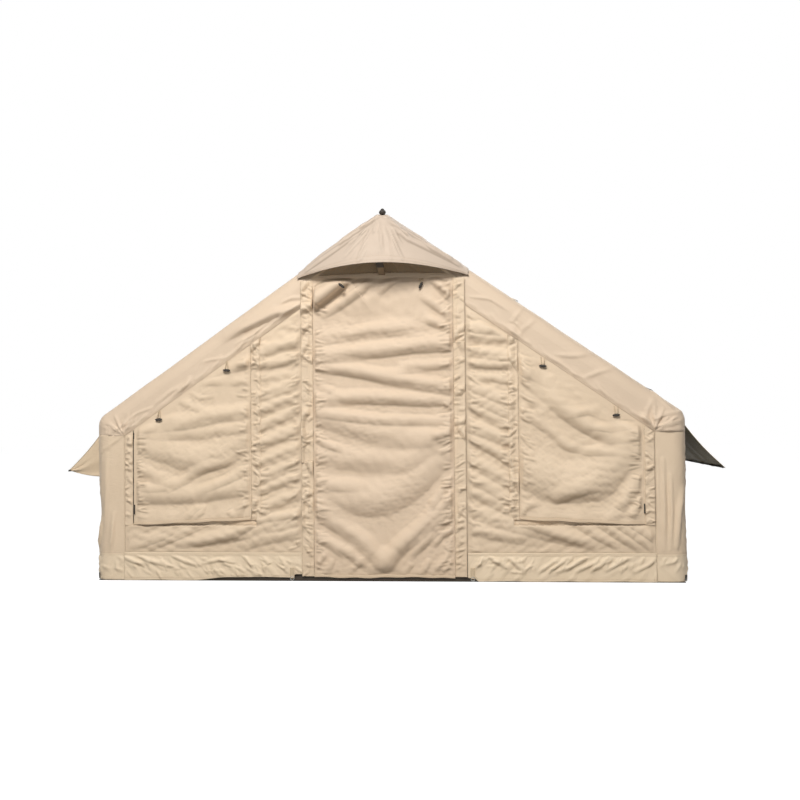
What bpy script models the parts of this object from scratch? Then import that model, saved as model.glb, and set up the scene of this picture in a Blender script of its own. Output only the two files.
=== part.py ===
# Inflatable gable tent: five air tubes carry a cloth shell with a zipped door, two front windows with
# cloth flaps, two side windows under canopies, and a hooded vent in the gable.
# Metres, +Z up. The door looks along -Y, and +X is on the right of someone who faces the door.
# The origin is on the ground, in the middle of the footprint that the canopies and the hood span.

import math

import bmesh
import bpy
from mathutils import Vector

# Driving dimensions of the shell
base_width = 4.0
tent_depth = 3.0
eave_height = 1.11
ridge_height = 2.50
crown_half_width = 0.034
corner_radius = 0.10
cloth = 0.004
mesh_cloth = 0.0015
gap = 0.0005
merge_distance = 0.00005

# Front openings and seams
band_width = 0.22
door_half_width = 0.530
door_flap_clearance = 0.0007
door_cover_overlap = 0.026
door_cover_reach = 0.0555
front_panel_width = 0.35
window_cover_width = 0.059
corner_post_width = 0.213
skirt_height = 0.18
groundsheet_thickness = 0.005
ground_gap = groundsheet_thickness + gap
gable_height = 0.552

# Vent hood
hood_overhang = 0.05
hood_reach = 0.20
hood_rim_lift = 0.097
hood_rim_rise = 0.062

half_width = base_width / 2
front_y = -(tent_depth - hood_reach) / 2
back_y = front_y + tent_depth
slope = (ridge_height - eave_height) / half_width
pitch = math.atan(slope)
corner_x = half_width - corner_radius
door_cover_outer_x = door_half_width + door_cover_overlap
door_cover_inner_x = door_half_width - door_cover_reach
window_inner_x = door_half_width + front_panel_width
corner_seam_x = half_width - corner_post_width
window_outer_x = corner_seam_x - window_cover_width
lintel_height = ridge_height - gable_height
hood_half_width = door_half_width + hood_overhang
hood_rim_height = lintel_height + hood_rim_lift


def roof_line(x, inset=0.0):
    # Height of a line that runs parallel to the roof, an inset below it, measured square to the roof.
    return ridge_height - inset / math.cos(pitch) - slope * abs(x)


def roof_top(x, inset=0.0):
    # The same line with its flat crown at the ridge.
    return roof_line(max(abs(x), crown_half_width), inset)


def roof_line_x(z, inset):
    # The place where such a line reaches a height.
    return (ridge_height - inset / math.cos(pitch) - z) / slope


def seam_height(x):
    # Lower seam of the band over the rafter.
    return roof_top(x, band_width)


shoulder_height = roof_line(corner_x, corner_radius)
shoulder_seam_height = seam_height(corner_seam_x)


def spread(start, end, cells):
    return [start + (end - start) * step / cells for step in range(cells + 1)]


def sides():
    return (("left", -1), ("right", 1))


# Scene

def start_scene():
    for item in list(bpy.data.objects):
        bpy.data.objects.remove(item)
    for title in ("inflatable_tent", "cutters"):
        if title not in bpy.data.collections:
            bpy.context.scene.collection.children.link(bpy.data.collections.new(title))


def paint(item, colour, roughness, metallic=0.0):
    material = bpy.data.materials.new(item.name)
    material.use_nodes = True
    shader = material.node_tree.nodes["Principled BSDF"]
    shader.inputs["Base Color"].default_value = (*colour, 1.0)
    shader.inputs["Roughness"].default_value = roughness
    shader.inputs["Metallic"].default_value = metallic
    item.data.materials.append(material)
    return item


beige = (0.68, 0.52, 0.37)
pale_beige = (0.76, 0.62, 0.46)
olive = (0.10, 0.08, 0.045)
black = (0.02, 0.018, 0.015)
webbing = (0.55, 0.47, 0.36)
tube_grey = (0.45, 0.46, 0.47)
net_grey = (0.08, 0.07, 0.055)


def add_mesh(name, bm, pivot=(0, 0, 0), collection="inflatable_tent"):
    # The mesh is made in world places, and its origin then moves to the pivot.
    place = Vector(pivot)
    bmesh.ops.translate(bm, verts=bm.verts, vec=-place)
    mesh = bpy.data.meshes.new(name)
    bm.to_mesh(mesh)
    bm.free()
    item = bpy.data.objects.new(name, mesh)
    item.location = place
    bpy.data.collections[collection].objects.link(item)
    return item


def panel(name, columns, rows, lay, outward, thickness=cloth, keep=None, pivot=(0, 0, 0)):
    # A cloth panel: a grid laid by lay(column, row), cut where keep(column cell, row cell) is false,
    # and thickened on the side away from outward.
    bm = bmesh.new()
    bmesh.ops.create_grid(bm, x_segments=len(columns) - 1, y_segments=len(rows) - 1, size=0.5)
    cells = {}
    for face in bm.faces:
        middle = face.calc_center_median()
        cells[face] = (int((middle.x + 0.5) * (len(columns) - 1)), int((middle.y + 0.5) * (len(rows) - 1)))
    if keep:
        holes = [face for face, cell in cells.items() if not keep(*cell)]
        bmesh.ops.delete(bm, geom=holes, context="FACES")
    for vertex in bm.verts:
        column = columns[round((vertex.co.x + 0.5) * (len(columns) - 1))]
        row = rows[round((vertex.co.y + 0.5) * (len(rows) - 1))]
        vertex.co = lay(column, row)
    bmesh.ops.remove_doubles(bm, verts=bm.verts, dist=merge_distance)
    bmesh.ops.recalc_face_normals(bm, faces=bm.faces)
    facing = sum((face.normal * face.calc_area() for face in bm.faces), Vector())
    if facing.dot(Vector(outward)) < 0:
        bmesh.ops.reverse_faces(bm, faces=bm.faces)
    item = add_mesh(name, bm, pivot)
    shell = item.modifiers.new("Cloth thickness", "SOLIDIFY")
    shell.thickness = thickness
    shell.offset = -1.0
    shell.use_even_offset = True
    return item


def box(name, low, high, pivot=None, collection="inflatable_tent"):
    low = Vector(low)
    high = Vector(high)
    bm = bmesh.new()
    bmesh.ops.create_cube(bm, size=1.0)
    bmesh.ops.scale(bm, verts=bm.verts, vec=high - low)
    bmesh.ops.translate(bm, verts=bm.verts, vec=(low + high) / 2)
    return add_mesh(name, bm, (low + high) / 2 if pivot is None else pivot, collection)


def rod(name, start, end, radius, segments=12, pivot=None, collection="inflatable_tent"):
    start = Vector(start)
    end = Vector(end)
    bm = bmesh.new()
    bmesh.ops.create_cone(bm, cap_ends=True, segments=segments, radius1=radius, radius2=radius,
                          depth=(end - start).length)
    turn = (end - start).to_track_quat("Z", "Y").to_matrix()
    bmesh.ops.rotate(bm, verts=bm.verts, matrix=turn)
    bmesh.ops.translate(bm, verts=bm.verts, vec=(start + end) / 2)
    return add_mesh(name, bm, (start + end) / 2 if pivot is None else pivot, collection)


def combine(item, other, operation):
    # Joins or cuts item with other, which stays in the file as a hidden cutter.
    other.hide_render = True
    other.display_type = "WIRE"
    for home in list(other.users_collection):
        home.objects.unlink(other)
    bpy.data.collections["cutters"].objects.link(other)
    change = item.modifiers.new(other.name, "BOOLEAN")
    change.operation = operation
    change.object = other
    change.solver = "EXACT"
    return item


def tube(name, route, radius, bevel_resolution=4, collection="inflatable_tent"):
    # A round tube along a route, as a closed mesh.
    curve = bpy.data.curves.new(name, "CURVE")
    curve.dimensions = "3D"
    curve.bevel_depth = radius
    curve.bevel_resolution = bevel_resolution
    curve.use_fill_caps = True
    spline = curve.splines.new("POLY")
    spline.points.add(len(route) - 1)
    for point, place in zip(spline.points, route):
        point.co = (*place, 1.0)
    guide = bpy.data.objects.new(name, curve)
    bpy.data.collections[collection].objects.link(guide)
    bpy.context.view_layer.update()
    evaluated = guide.evaluated_get(bpy.context.evaluated_depsgraph_get())
    mesh = bpy.data.meshes.new_from_object(evaluated)
    bm = bmesh.new()
    bm.from_mesh(mesh)
    bmesh.ops.remove_doubles(bm, verts=bm.verts, dist=merge_distance)
    bmesh.ops.recalc_face_normals(bm, faces=bm.faces)
    bpy.data.objects.remove(guide)
    return add_mesh(name, bm, collection=collection)


# Folds in the cloth

def fold_relief(folds, across, up, width, height):
    # How far the cloth stands out at a place. A fold is a soft ridge or valley from one point to another,
    # given in shares of the panel: start across, start up, end across, end up, half width, strength.
    place = Vector((across * width, up * height))
    total = 0.0
    for start_across, start_up, end_across, end_up, spread_share, strength in folds:
        start = Vector((start_across * width, start_up * height))
        run = Vector((end_across * width, end_up * height)) - start
        along = max(0.0, min(1.0, (place - start).dot(run) / run.length_squared))
        distance = (place - start - run * along).length / (spread_share * height)
        if distance < 1:
            total += strength * math.cos(distance * math.pi / 2) ** 2
    return total


def edge_fade(share, margin_share):
    # Falls to zero at both ends of a panel, where it is sewn down.
    return max(0.0, min(1.0, share / margin_share, (1 - share) / margin_share))


# Air tubes

tube_radius = 0.095
tube_wall = 0.003
tube_bend = 0.12
tube_bend_steps = 3
eave_tube_step = 0.010
eave_tube_radius = tube_radius - eave_tube_step
ridge_tube_radius = 0.075
roof_clearance = 0.006
tube_inset = tube_radius + cloth + roof_clearance
port_radius = 0.028
port_overrun = 0.02
valve_height = 0.45
valve_hole_radius = 0.020


def bend(before, corner, after, radius, steps):
    # The points of an arc that rounds a corner of a route.
    towards = (Vector(before) - Vector(corner)).normalized()
    away = (Vector(after) - Vector(corner)).normalized()
    half_angle = towards.angle(away) / 2
    middle = Vector(corner) + (towards + away).normalized() * radius / math.sin(half_angle)
    first = Vector(corner) + towards * radius / math.tan(half_angle) - middle
    last = Vector(corner) + away * radius / math.tan(half_angle) - middle
    turn = first.angle(last)
    points = []
    for step in range(steps + 1):
        share = step / steps
        mix = (first * math.sin((1 - share) * turn) + last * math.sin(share * turn)) / math.sin(turn)
        points.append(middle + mix)
    return points


def arch_route(y, foot):
    post_x = half_width - tube_inset
    corner = Vector((post_x, y, roof_line(post_x, tube_inset)))
    top = Vector((0, y, roof_line(0, tube_inset)))
    base = Vector((post_x, y, foot))
    mirror = Vector((-1, 1, 1))
    right = [base] + bend(base, corner, top, tube_bend, tube_bend_steps)
    crown = bend(corner, top, corner * mirror, tube_bend, tube_bend_steps + 1)
    left = [point * mirror for point in reversed(right)]
    return right + crown + left


def make_arches():
    foot = ground_gap
    post_x = half_width - tube_inset
    for name, y, inward in (("arch_front", front_y + tube_inset, 1), ("arch_rear", back_y - tube_inset, -1)):
        arch = tube(name, arch_route(y, foot), tube_radius)
        bore = tube(name + "_bore", arch_route(y, foot + tube_wall), tube_radius - tube_wall,
                    collection="cutters")
        combine(arch, bore, "DIFFERENCE")
        reach = y + inward * (tube_radius + port_overrun)
        for port_x, port_z in side_tube_places():
            label = f"{name}_port_{'left' if port_x < 0 else 'right' if port_x > 0 else 'ridge'}"
            port = rod(label, (port_x, y, port_z), (port_x, reach, port_z), port_radius,
                       collection="cutters")
            combine(arch, port, "DIFFERENCE")
        if name == "arch_front":
            hole = rod("valve_hole", (-post_x, y, valve_height),
                       (-post_x + tube_radius + port_overrun, y, valve_height), valve_hole_radius,
                       collection="cutters")
            combine(arch, hole, "DIFFERENCE")
        paint(arch, tube_grey, 0.45)


def side_tube_places():
    eave_x = half_width - tube_inset
    ridge_inset = ridge_tube_radius + cloth + roof_clearance
    ridge_z = min(roof_line(0, ridge_inset), roof_top(0) - ridge_inset)
    eave_z = roof_line(eave_x, tube_inset)
    return ((-eave_x, eave_z), (eave_x, eave_z), (0.0, ridge_z))


def make_side_tubes():
    start = front_y + tube_inset + tube_radius + gap
    end = back_y - tube_inset - tube_radius - gap
    names = ("eave_tube_left", "eave_tube_right", "ridge_tube")
    radii = (eave_tube_radius, eave_tube_radius, ridge_tube_radius)
    for name, radius, (x, z) in zip(names, radii, side_tube_places()):
        beam = rod(name, (x, start, z), (x, end, z), radius, segments=16)
        bore = rod(name + "_bore", (x, start + tube_wall, z), (x, end - tube_wall, z),
                   radius - tube_wall, segments=16, collection="cutters")
        combine(beam, bore, "DIFFERENCE")
        port = rod(name + "_port", (x, start - port_overrun, z), (x, end + port_overrun, z),
                   port_radius, collection="cutters")
        combine(beam, port, "DIFFERENCE")
        paint(beam, tube_grey, 0.45)


# Valve on the front left post, inside the tent

valve_flange_radius = 0.034
valve_flange_height = 0.006
valve_boss_radius = 0.017
valve_boss_height = 0.016
valve_stem_sink = 0.006
cap_radius = 0.022
cap_height = 0.014


def make_valve():
    y = front_y + tube_inset
    face = -(half_width - tube_inset) + tube_radius
    flange_start = face + gap
    flange_end = flange_start + valve_flange_height
    boss_end = flange_end + valve_boss_height
    valve = rod("inflation_valve", (flange_start, y, valve_height), (flange_end, y, valve_height),
                valve_flange_radius, segments=20)
    stem = rod("valve_stem", (face - valve_stem_sink, y, valve_height), (boss_end, y, valve_height),
               valve_boss_radius, collection="cutters")
    combine(valve, stem, "UNION")
    paint(valve, black, 0.5)
    cap = rod("valve_cap", (boss_end + gap, y, valve_height), (boss_end + gap + cap_height, y, valve_height),
              cap_radius, segments=20, pivot=(boss_end, y, valve_height))
    paint(cap, black, 0.45)


# Roof: each half runs from the rear seam, over both rafters, to the front seam

arc_steps = 4
roof_column_shares = (0.80, 0.62, 0.44)
roof_length_cells = 4


def roof_sections():
    # Inset and Y of each row, from the front seam over the rafter and the roof to the rear seam.
    arc = [step * math.pi / 2 / arc_steps for step in range(arc_steps + 1)]
    front = [(corner_radius * (1 - math.sin(turn)), front_y + corner_radius * (1 - math.cos(turn)))
             for turn in arc]
    rear = [(inset, front_y + back_y - y) for inset, y in reversed(front)]
    middle = [(0.0, y) for y in spread(front_y + corner_radius, back_y - corner_radius, roof_length_cells)]
    rows = [(band_width, front_y)] + front + middle[1:-1] + rear + [(band_width, back_y)]
    return rows


def roof_stations():
    # Places along the outline: the side's seam, turns of the rounded eave, then distances from the middle.
    last_turn = math.pi / 2 - pitch
    turns = [("turn", last_turn * step / arc_steps) for step in range(arc_steps + 1)]
    places = [("x", half_width * share) for share in roof_column_shares]
    middle = [("x", x) for x in (door_half_width, door_half_width / 2, crown_half_width, gap / 2)]
    return [("side", shoulder_seam_height)] + turns + places + middle


def outline_point(station, inset):
    kind, value = station
    if kind == "x":
        return value, roof_top(value, inset)
    if inset > corner_radius:
        return corner_seam_x, shoulder_seam_height
    radius = corner_radius - inset
    if kind == "side":
        return corner_x + radius, value
    return corner_x + radius * math.cos(value), shoulder_height + radius * math.sin(value)


def make_roofs():
    rows = roof_sections()
    stations = roof_stations()
    door_column = stations.index(("x", door_half_width))
    for side_name, side in sides():
        def lay(station, row, side=side):
            x, z = outline_point(station, row[0])
            return Vector((side * x, row[1], z))

        def keep(column, row):
            return not (row == 0 and column >= door_column)

        roof = panel(f"roof_{side_name}", stations, rows, lay, (side, 0, 1), keep=keep)
        paint(roof, pale_beige, 0.75)


# Side walls: each goes round its two corner posts

side_window_half_length = 1.05
side_window_drop = 0.051
side_window_height = 0.27
side_window_high = shoulder_seam_height - side_window_drop
side_window_low = side_window_high - side_window_height


def side_plan():
    # The wall's plan, from the front seam round the corner, along the side and round the rear corner.
    arc = [step * math.pi / 2 / arc_steps for step in range(arc_steps + 1)]
    front = [(corner_x + corner_radius * math.sin(turn), front_y + corner_radius * (1 - math.cos(turn)))
             for turn in arc]
    middle_y = (front_y + back_y) / 2
    along = spread(middle_y - side_window_half_length, middle_y + side_window_half_length, 4)
    side_run = [(half_width, y) for y in along]
    rear = [(x, front_y + back_y - y) for x, y in reversed(front)]
    seam = corner_seam_x + gap
    return [(seam, front_y)] + front + side_run + rear + [(seam, back_y)]


def make_side_walls():
    plan = side_plan()
    heights = [ground_gap, skirt_height, side_window_low, side_window_high,
               shoulder_seam_height - gap]
    first_window = arc_steps + 2
    for side_name, side in sides():
        def lay(place, z, side=side):
            return Vector((side * place[0], place[1], z))

        def keep(column, row):
            return not (row == 2 and first_window <= column < first_window + 4)

        wall = panel(f"side_wall_{side_name}", plan, heights, lay, (side, 0, 0), keep=keep)
        paint(wall, beige, 0.75)


net_overlap = 0.02


def make_side_nets():
    middle_y = (front_y + back_y) / 2
    for side_name, side in sides():
        outer = half_width - cloth - gap
        low = (side * outer, middle_y - side_window_half_length - net_overlap, side_window_low - net_overlap)
        high = (side * (outer - mesh_cloth), middle_y + side_window_half_length + net_overlap,
                side_window_high + net_overlap)
        corners = [(min(a, b), max(a, b)) for a, b in zip(low, high)]
        net = box(f"side_window_net_{side_name}", [pair[0] for pair in corners], [pair[1] for pair in corners])
        paint(net, net_grey, 0.8)


# Canopies over the side windows, hinged under the eave

canopy_start = 0.22
canopy_hinge_drop = 0.003
canopy_length = 0.425
canopy_rest_angle = math.radians(41.5)
canopy_rod_radius = 0.006
canopy_rod_overhang = 0.03
canopy_rod_seat = 0.018
canopy_sag_share = 0.03


def canopy_hinge(side):
    middle_y = (front_y + back_y) / 2
    return Vector((side * (half_width + gap), middle_y, shoulder_height - canopy_hinge_drop))


def make_canopies():
    for side_name, side in sides():
        hinge = canopy_hinge(side)
        outwards = Vector((side * math.sin(canopy_rest_angle), 0, -math.cos(canopy_rest_angle)))
        upwards = Vector((side * math.cos(canopy_rest_angle), 0, math.sin(canopy_rest_angle)))

        def lay(y, share, hinge=hinge, outwards=outwards, upwards=upwards):
            sag = math.sin(math.pi * share) * canopy_sag_share * canopy_length
            place = hinge + outwards * share * canopy_length + upwards * (cloth - sag)
            return Vector((place.x, y, place.z))

        across = spread(front_y + canopy_start, back_y - canopy_start, 8)
        canopy = panel(f"side_canopy_{side_name}", across, spread(0.0, 1.0, 5), lay, upwards, pivot=hinge)
        paint(canopy, olive, 0.8)
        seat = hinge + outwards * (canopy_length - canopy_rod_seat)
        seat -= upwards * (canopy_rod_radius + gap + canopy_sag_share * canopy_rod_seat * math.pi)
        start = Vector((seat.x, front_y + canopy_start - canopy_rod_overhang, seat.z))
        end = Vector((seat.x, back_y - canopy_start + canopy_rod_overhang, seat.z))
        stay = rod(f"canopy_rod_{side_name}", start, end, canopy_rod_radius, segments=8, pivot=hinge)
        paint(stay, black, 0.4)


# Front walls, each with a window opening that the flap covers

sill_height = 0.43
head_drop = 0.035
window_hole_inset = 0.018
window_cells = 5
wall_fold_depth = 0.007
wall_side_fade_share = 0.04
wall_end_fade_share = 0.05
wall_fold_shares = (
    (0.02, 0.93, 0.20, 0.97, 0.05, 0.9),
    (0.02, 0.80, 0.20, 0.86, 0.05, 0.8),
    (0.02, 0.66, 0.20, 0.70, 0.05, 0.9),
    (0.02, 0.52, 0.20, 0.55, 0.05, 0.8),
    (0.02, 0.40, 0.20, 0.38, 0.05, 0.9),
    (0.02, 0.22, 0.30, 0.12, 0.05, 0.9),
    (0.30, 0.05, 0.62, 0.13, 0.04, 0.7),
    (0.66, 0.12, 0.95, 0.04, 0.04, 0.8),
)


def make_front_walls():
    bottom = skirt_height + gap
    full_height = seam_height(door_half_width)
    inner = window_inner_x + window_hole_inset
    outer = window_outer_x - window_hole_inset
    strip_x = window_inner_x - window_cover_width
    beside_door = [door_half_width] + spread(door_cover_outer_x, strip_x, 2)
    first_hole = len(beside_door)
    last_hole = first_hole + window_cells
    columns = beside_door + spread(inner, outer, window_cells) + [corner_seam_x]
    rows = [("low", share) for share in spread(0.0, 1.0, 2)]
    rows += [("window", share) for share in spread(0.0, 1.0, 5)] + [("top", 1.0)]

    def height(x, row):
        kind, share = row
        top = seam_height(x) - gap
        head = top - head_drop
        if kind == "low":
            return bottom + (flap_outer_low - bottom) * share
        if kind == "window":
            return sill_height + (head - sill_height) * share
        return top

    for side_name, side in sides():
        def lay(x, row, side=side):
            z = height(x, row)
            across = (x - door_half_width) / (corner_seam_x - door_half_width)
            up = (z - bottom) / (full_height - bottom)
            relief = fold_relief(wall_fold_shares, across, up, corner_seam_x - door_half_width,
                                 full_height - bottom)
            top_share = (height(x, rows[-1]) - bottom) / (full_height - bottom)
            fade = edge_fade(across, wall_side_fade_share) * edge_fade(up / top_share, wall_end_fade_share)
            if x <= door_cover_outer_x or (x >= strip_x and z >= flap_outer_low):
                fade = 0.0
            return Vector((side * x, front_y - relief * wall_fold_depth * fade, z))

        def keep(column, row):
            return not (first_hole <= column < last_hole and 3 <= row < 8)

        wall = panel(f"front_wall_{side_name}", columns, rows, lay, (0, -1, 0), keep=keep)
        paint(wall, beige, 0.75)

        def lay_net(x, share, side=side):
            low = sill_height - net_overlap
            high = seam_height(x) - head_drop + net_overlap
            return Vector((side * x, front_y + cloth + gap, low + (high - low) * share))

        net = panel(f"window_net_{side_name}", [inner - net_overlap, outer + net_overlap / 2], [0.0, 1.0],
                    lay_net, (0, -1, 0), thickness=mesh_cloth)
        paint(net, net_grey, 0.8)


# Window flaps, hinged along a line under the seam's toggles

toggle_loop_width = 0.010
toggle_loop_length = 0.066
toggle_loop_thickness = 0.0025
toggle_bar_radius = 0.009
toggle_bar_length = 0.048
flap_toggle_clearance = 0.007
flap_drop = toggle_loop_length + toggle_bar_radius + flap_toggle_clearance
flap_edge_gap = 0.005
flap_inner_low = 0.41
flap_outer_low = 0.38
flap_fold_depth = 0.016
flap_fade_share = 0.06
flap_fold_shares = {
    "left": (
        (0.02, 0.62, 0.98, 0.93, 0.050, 0.8),
        (0.02, 0.50, 0.98, 0.74, 0.060, 0.9),
        (0.02, 0.40, 0.45, 0.26, 0.060, 0.8),
        (0.45, 0.26, 0.98, 0.45, 0.060, 0.8),
        (0.30, 0.06, 0.98, 0.30, 0.050, 0.6),
        (0.10, 0.20, 0.45, 0.06, 0.045, 0.5),
    ),
    "right": (
        (0.02, 0.60, 0.98, 0.90, 0.050, 0.8),
        (0.04, 0.42, 0.60, 0.58, 0.060, 0.9),
        (0.60, 0.58, 0.98, 0.78, 0.055, 0.7),
        (0.40, 0.20, 0.98, 0.60, 0.060, 0.8),
        (0.02, 0.34, 0.50, 0.14, 0.055, 0.8),
        (0.25, 0.05, 0.80, 0.10, 0.045, 0.5),
    ),
}


def flap_top(x):
    return roof_line(x, band_width + flap_drop)


def flap_hinge(side):
    return Vector((side * window_inner_x, front_y - gap, flap_top(window_inner_x) + gap))


def flap_bottom(x):
    share = (x - window_inner_x) / (window_outer_x - window_inner_x)
    return flap_inner_low + (flap_outer_low - flap_inner_low) * share


def make_window_flaps():
    inner = window_inner_x + flap_edge_gap
    outer = window_outer_x - flap_edge_gap
    width = outer - inner
    height = flap_top(inner) - flap_outer_low
    # The flap stays flat along its edges, where the zip's pull runs.
    flat = pull_inset + pull_width
    for side_name, side in sides():
        folds = flap_fold_shares[side_name]

        def lay(x, share, side=side, folds=folds):
            low = flap_bottom(x)
            z = low + (flap_top(x) - low) * share
            across = (outer - x) / width
            relief = fold_relief(folds, across, (z - flap_outer_low) / height, width, height)
            fade = edge_fade((across * width - flat) / (width - 2 * flat), flap_fade_share)
            fade *= edge_fade(share, flap_fade_share)
            return Vector((side * x, front_y - gap - cloth - relief * flap_fold_depth * fade, z))

        columns = [inner] + spread(inner + flat, outer - flat, 10) + [outer]
        flap = panel(f"window_flap_{side_name}", columns, spread(0.0, 1.0, 11), lay, (0, -1, 0),
                     pivot=flap_hinge(side))
        paint(flap, pale_beige, 0.75)


# Strips over the window zips, and the pulls of those zips

cover_cloth = 0.003
cover_rise = 0.006
pucker_count = 9


def make_window_covers():
    strips = (
        ("inner", window_inner_x - window_cover_width, window_inner_x),
        ("outer", window_outer_x, corner_seam_x),
    )
    for side_name, side in sides():
        for place, start, end in strips:
            def lay(x, share, side=side, start=start, end=end):
                low = flap_outer_low
                high = seam_height(x) - gap
                ripple = math.sin(share * pucker_count * 2 * math.pi) / 2 + 1 / 2
                rise = cover_rise * ripple * math.sin(math.pi * (x - start) / (end - start))
                return Vector((side * x, front_y - gap - cover_cloth - rise, low + (high - low) * share))

            strip = panel(f"window_zip_cover_{place}_{side_name}", spread(start, end, 2),
                          spread(0.0, 1.0, pucker_count * 4), lay, (0, -1, 0), thickness=cover_cloth)
            paint(strip, beige, 0.75)


pull_width = 0.012
pull_length = 0.066
pull_thickness = 0.004
pull_height = 0.455
pull_inset = 0.012


def make_window_pulls():
    for side_name, side in sides():
        x = side * (window_outer_x - pull_inset)
        face = front_y - gap - cloth - gap
        low = (x - pull_width / 2, face - pull_thickness, pull_height)
        high = (x + pull_width / 2, face, pull_height + pull_length)
        pull = box(f"window_zip_pull_{side_name}", low, high)
        paint(pull, black, 0.5)


# Toggles that tie the rolled flaps and the rolled door

window_toggle_shares = (0.22, 0.78)
door_toggle_x = 0.263
door_toggle_clearance = 0.012
door_toggle_height = lintel_height + toggle_loop_length + toggle_bar_radius + door_toggle_clearance


def make_toggle(name, x, z):
    face = front_y - gap
    loop = box(name, (x - toggle_loop_width / 2, face - toggle_loop_thickness, z - toggle_loop_length),
               (x + toggle_loop_width / 2, face, z), pivot=(x, face - toggle_loop_thickness / 2, z))
    bar_z = z - toggle_loop_length
    start = (x - toggle_bar_length / 2, face - toggle_bar_radius, bar_z)
    end = (x + toggle_bar_length / 2, face - toggle_bar_radius, bar_z)
    bar = rod(name + "_bar", start, end, toggle_bar_radius, segments=8, collection="cutters")
    combine(loop, bar, "UNION")
    paint(loop, black, 0.5)


def make_toggles():
    for side_name, side in sides():
        for place, share in zip(("high", "low"), window_toggle_shares):
            x = window_inner_x + (window_outer_x - window_inner_x) * share
            make_toggle(f"window_toggle_{place}_{side_name}", side * x, seam_height(x) - gap)
        make_toggle(f"door_toggle_{side_name}", side * door_toggle_x, door_toggle_height)


# Gable panel over the door, with the vent opening and its net

vent_sill = 0.117
vent_low = lintel_height + vent_sill
vent_margin = 0.03
lip_tilt_share = 0.35
vent_half_width = roof_line_x(vent_low, corner_radius + vent_margin)


def make_gable():
    clearance = gap + cloth * lip_tilt_share
    side_top = roof_line(door_half_width, corner_radius) - clearance
    half = [crown_half_width, vent_half_width / 2, vent_half_width, door_half_width - gap]
    columns = [-x for x in reversed(half)] + half
    rows = ["bottom", "sill", "head", "top"]

    def lay(x, row):
        top = roof_top(x, corner_radius) - clearance
        sill = min(vent_low, (lintel_height + side_top) / 2 + (top - side_top) / 2)
        head = max(sill, top - vent_margin)
        z = {"bottom": lintel_height, "sill": sill, "head": head, "top": top}[row]
        return Vector((x, front_y, z))

    def keep(column, row):
        return not (row == 1 and 1 <= column <= 5)

    gable = panel("gable_panel", columns, rows, lay, (0, -1, 0), keep=keep)
    paint(gable, beige, 0.75)

    def lay_net(x, row):
        low = vent_low - net_overlap
        high = max(low + net_overlap, roof_top(x, corner_radius + vent_margin / 2))
        return Vector((x, front_y + cloth + gap, low if row == "low" else high))

    net = panel("vent_net", columns[1:-1], ["low", "high"], lay_net,
                (0, -1, 0), thickness=mesh_cloth)
    paint(net, net_grey, 0.8)


# Vent hood and the prop that holds it off the gable

hood_lift = 0.0003
hood_curve = 2.0
hood_rows = 6
rim_reach_power = 0.8
prop_width = 0.05
prop_thickness = 0.004
prop_drop = 0.009
prop_seat_share = 0.97
prop_seat_clearance = 0.0012
prop_tip_share = 0.25


def hood_rim(across):
    # Height and reach of the rim at a share of the hood's half width.
    bow = max(0.0, 1 - across * across)
    return hood_rim_height + hood_rim_rise * bow, hood_reach * bow ** rim_reach_power


def hood_point(across, share):
    start_y = front_y + corner_radius
    x = across * hood_half_width
    top = roof_top(x, -(cloth + gap + hood_lift))
    rim_z, reach = hood_rim(across)
    front = front_y - max(reach, gap + cloth + hood_lift)
    return Vector((x, start_y + (front - start_y) * share, top + (rim_z - top) * share ** hood_curve))


def make_hood():
    crown_share = crown_half_width / hood_half_width
    half = spread(crown_share, 1.0, 8)
    columns = [-share for share in reversed(half)] + [0.0] + half
    hood = panel("vent_hood", columns, spread(0.0, 1.0, hood_rows), hood_point, (0, -1, 1))
    paint(hood, pale_beige, 0.75)


def make_prop():
    # The prop runs from a rolled root on the gable, below the vent, to the inside of the hood's rim.
    seat = hood_point(0.0, prop_seat_share)
    slant = hood_point(0.0, 1.0) - seat
    outwards = Vector((0, slant.z, -slant.y)).normalized()
    start = Vector((0, front_y - gap - prop_thickness / 2, vent_low - prop_drop))
    end = seat - outwards * (cloth + prop_seat_clearance + prop_thickness * prop_tip_share)
    run = end - start
    bm = bmesh.new()
    bmesh.ops.create_cube(bm, size=1.0)
    bmesh.ops.scale(bm, verts=bm.verts, vec=(prop_width, run.length, prop_thickness))
    turn = run.to_track_quat("Y", "Z").to_matrix()
    bmesh.ops.rotate(bm, verts=bm.verts, matrix=turn)
    bmesh.ops.translate(bm, verts=bm.verts, vec=(start + end) / 2)
    prop = add_mesh("vent_prop", bm, pivot=start)
    along = Vector((prop_width / 2, 0, 0))
    root = rod("vent_prop_root", start - along, start + along, prop_thickness / 2, collection="cutters")
    combine(prop, root, "UNION")
    paint(prop, black, 0.5)


# Door: zips in the wall's plane, strips over them, and the flap between the strips

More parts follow.
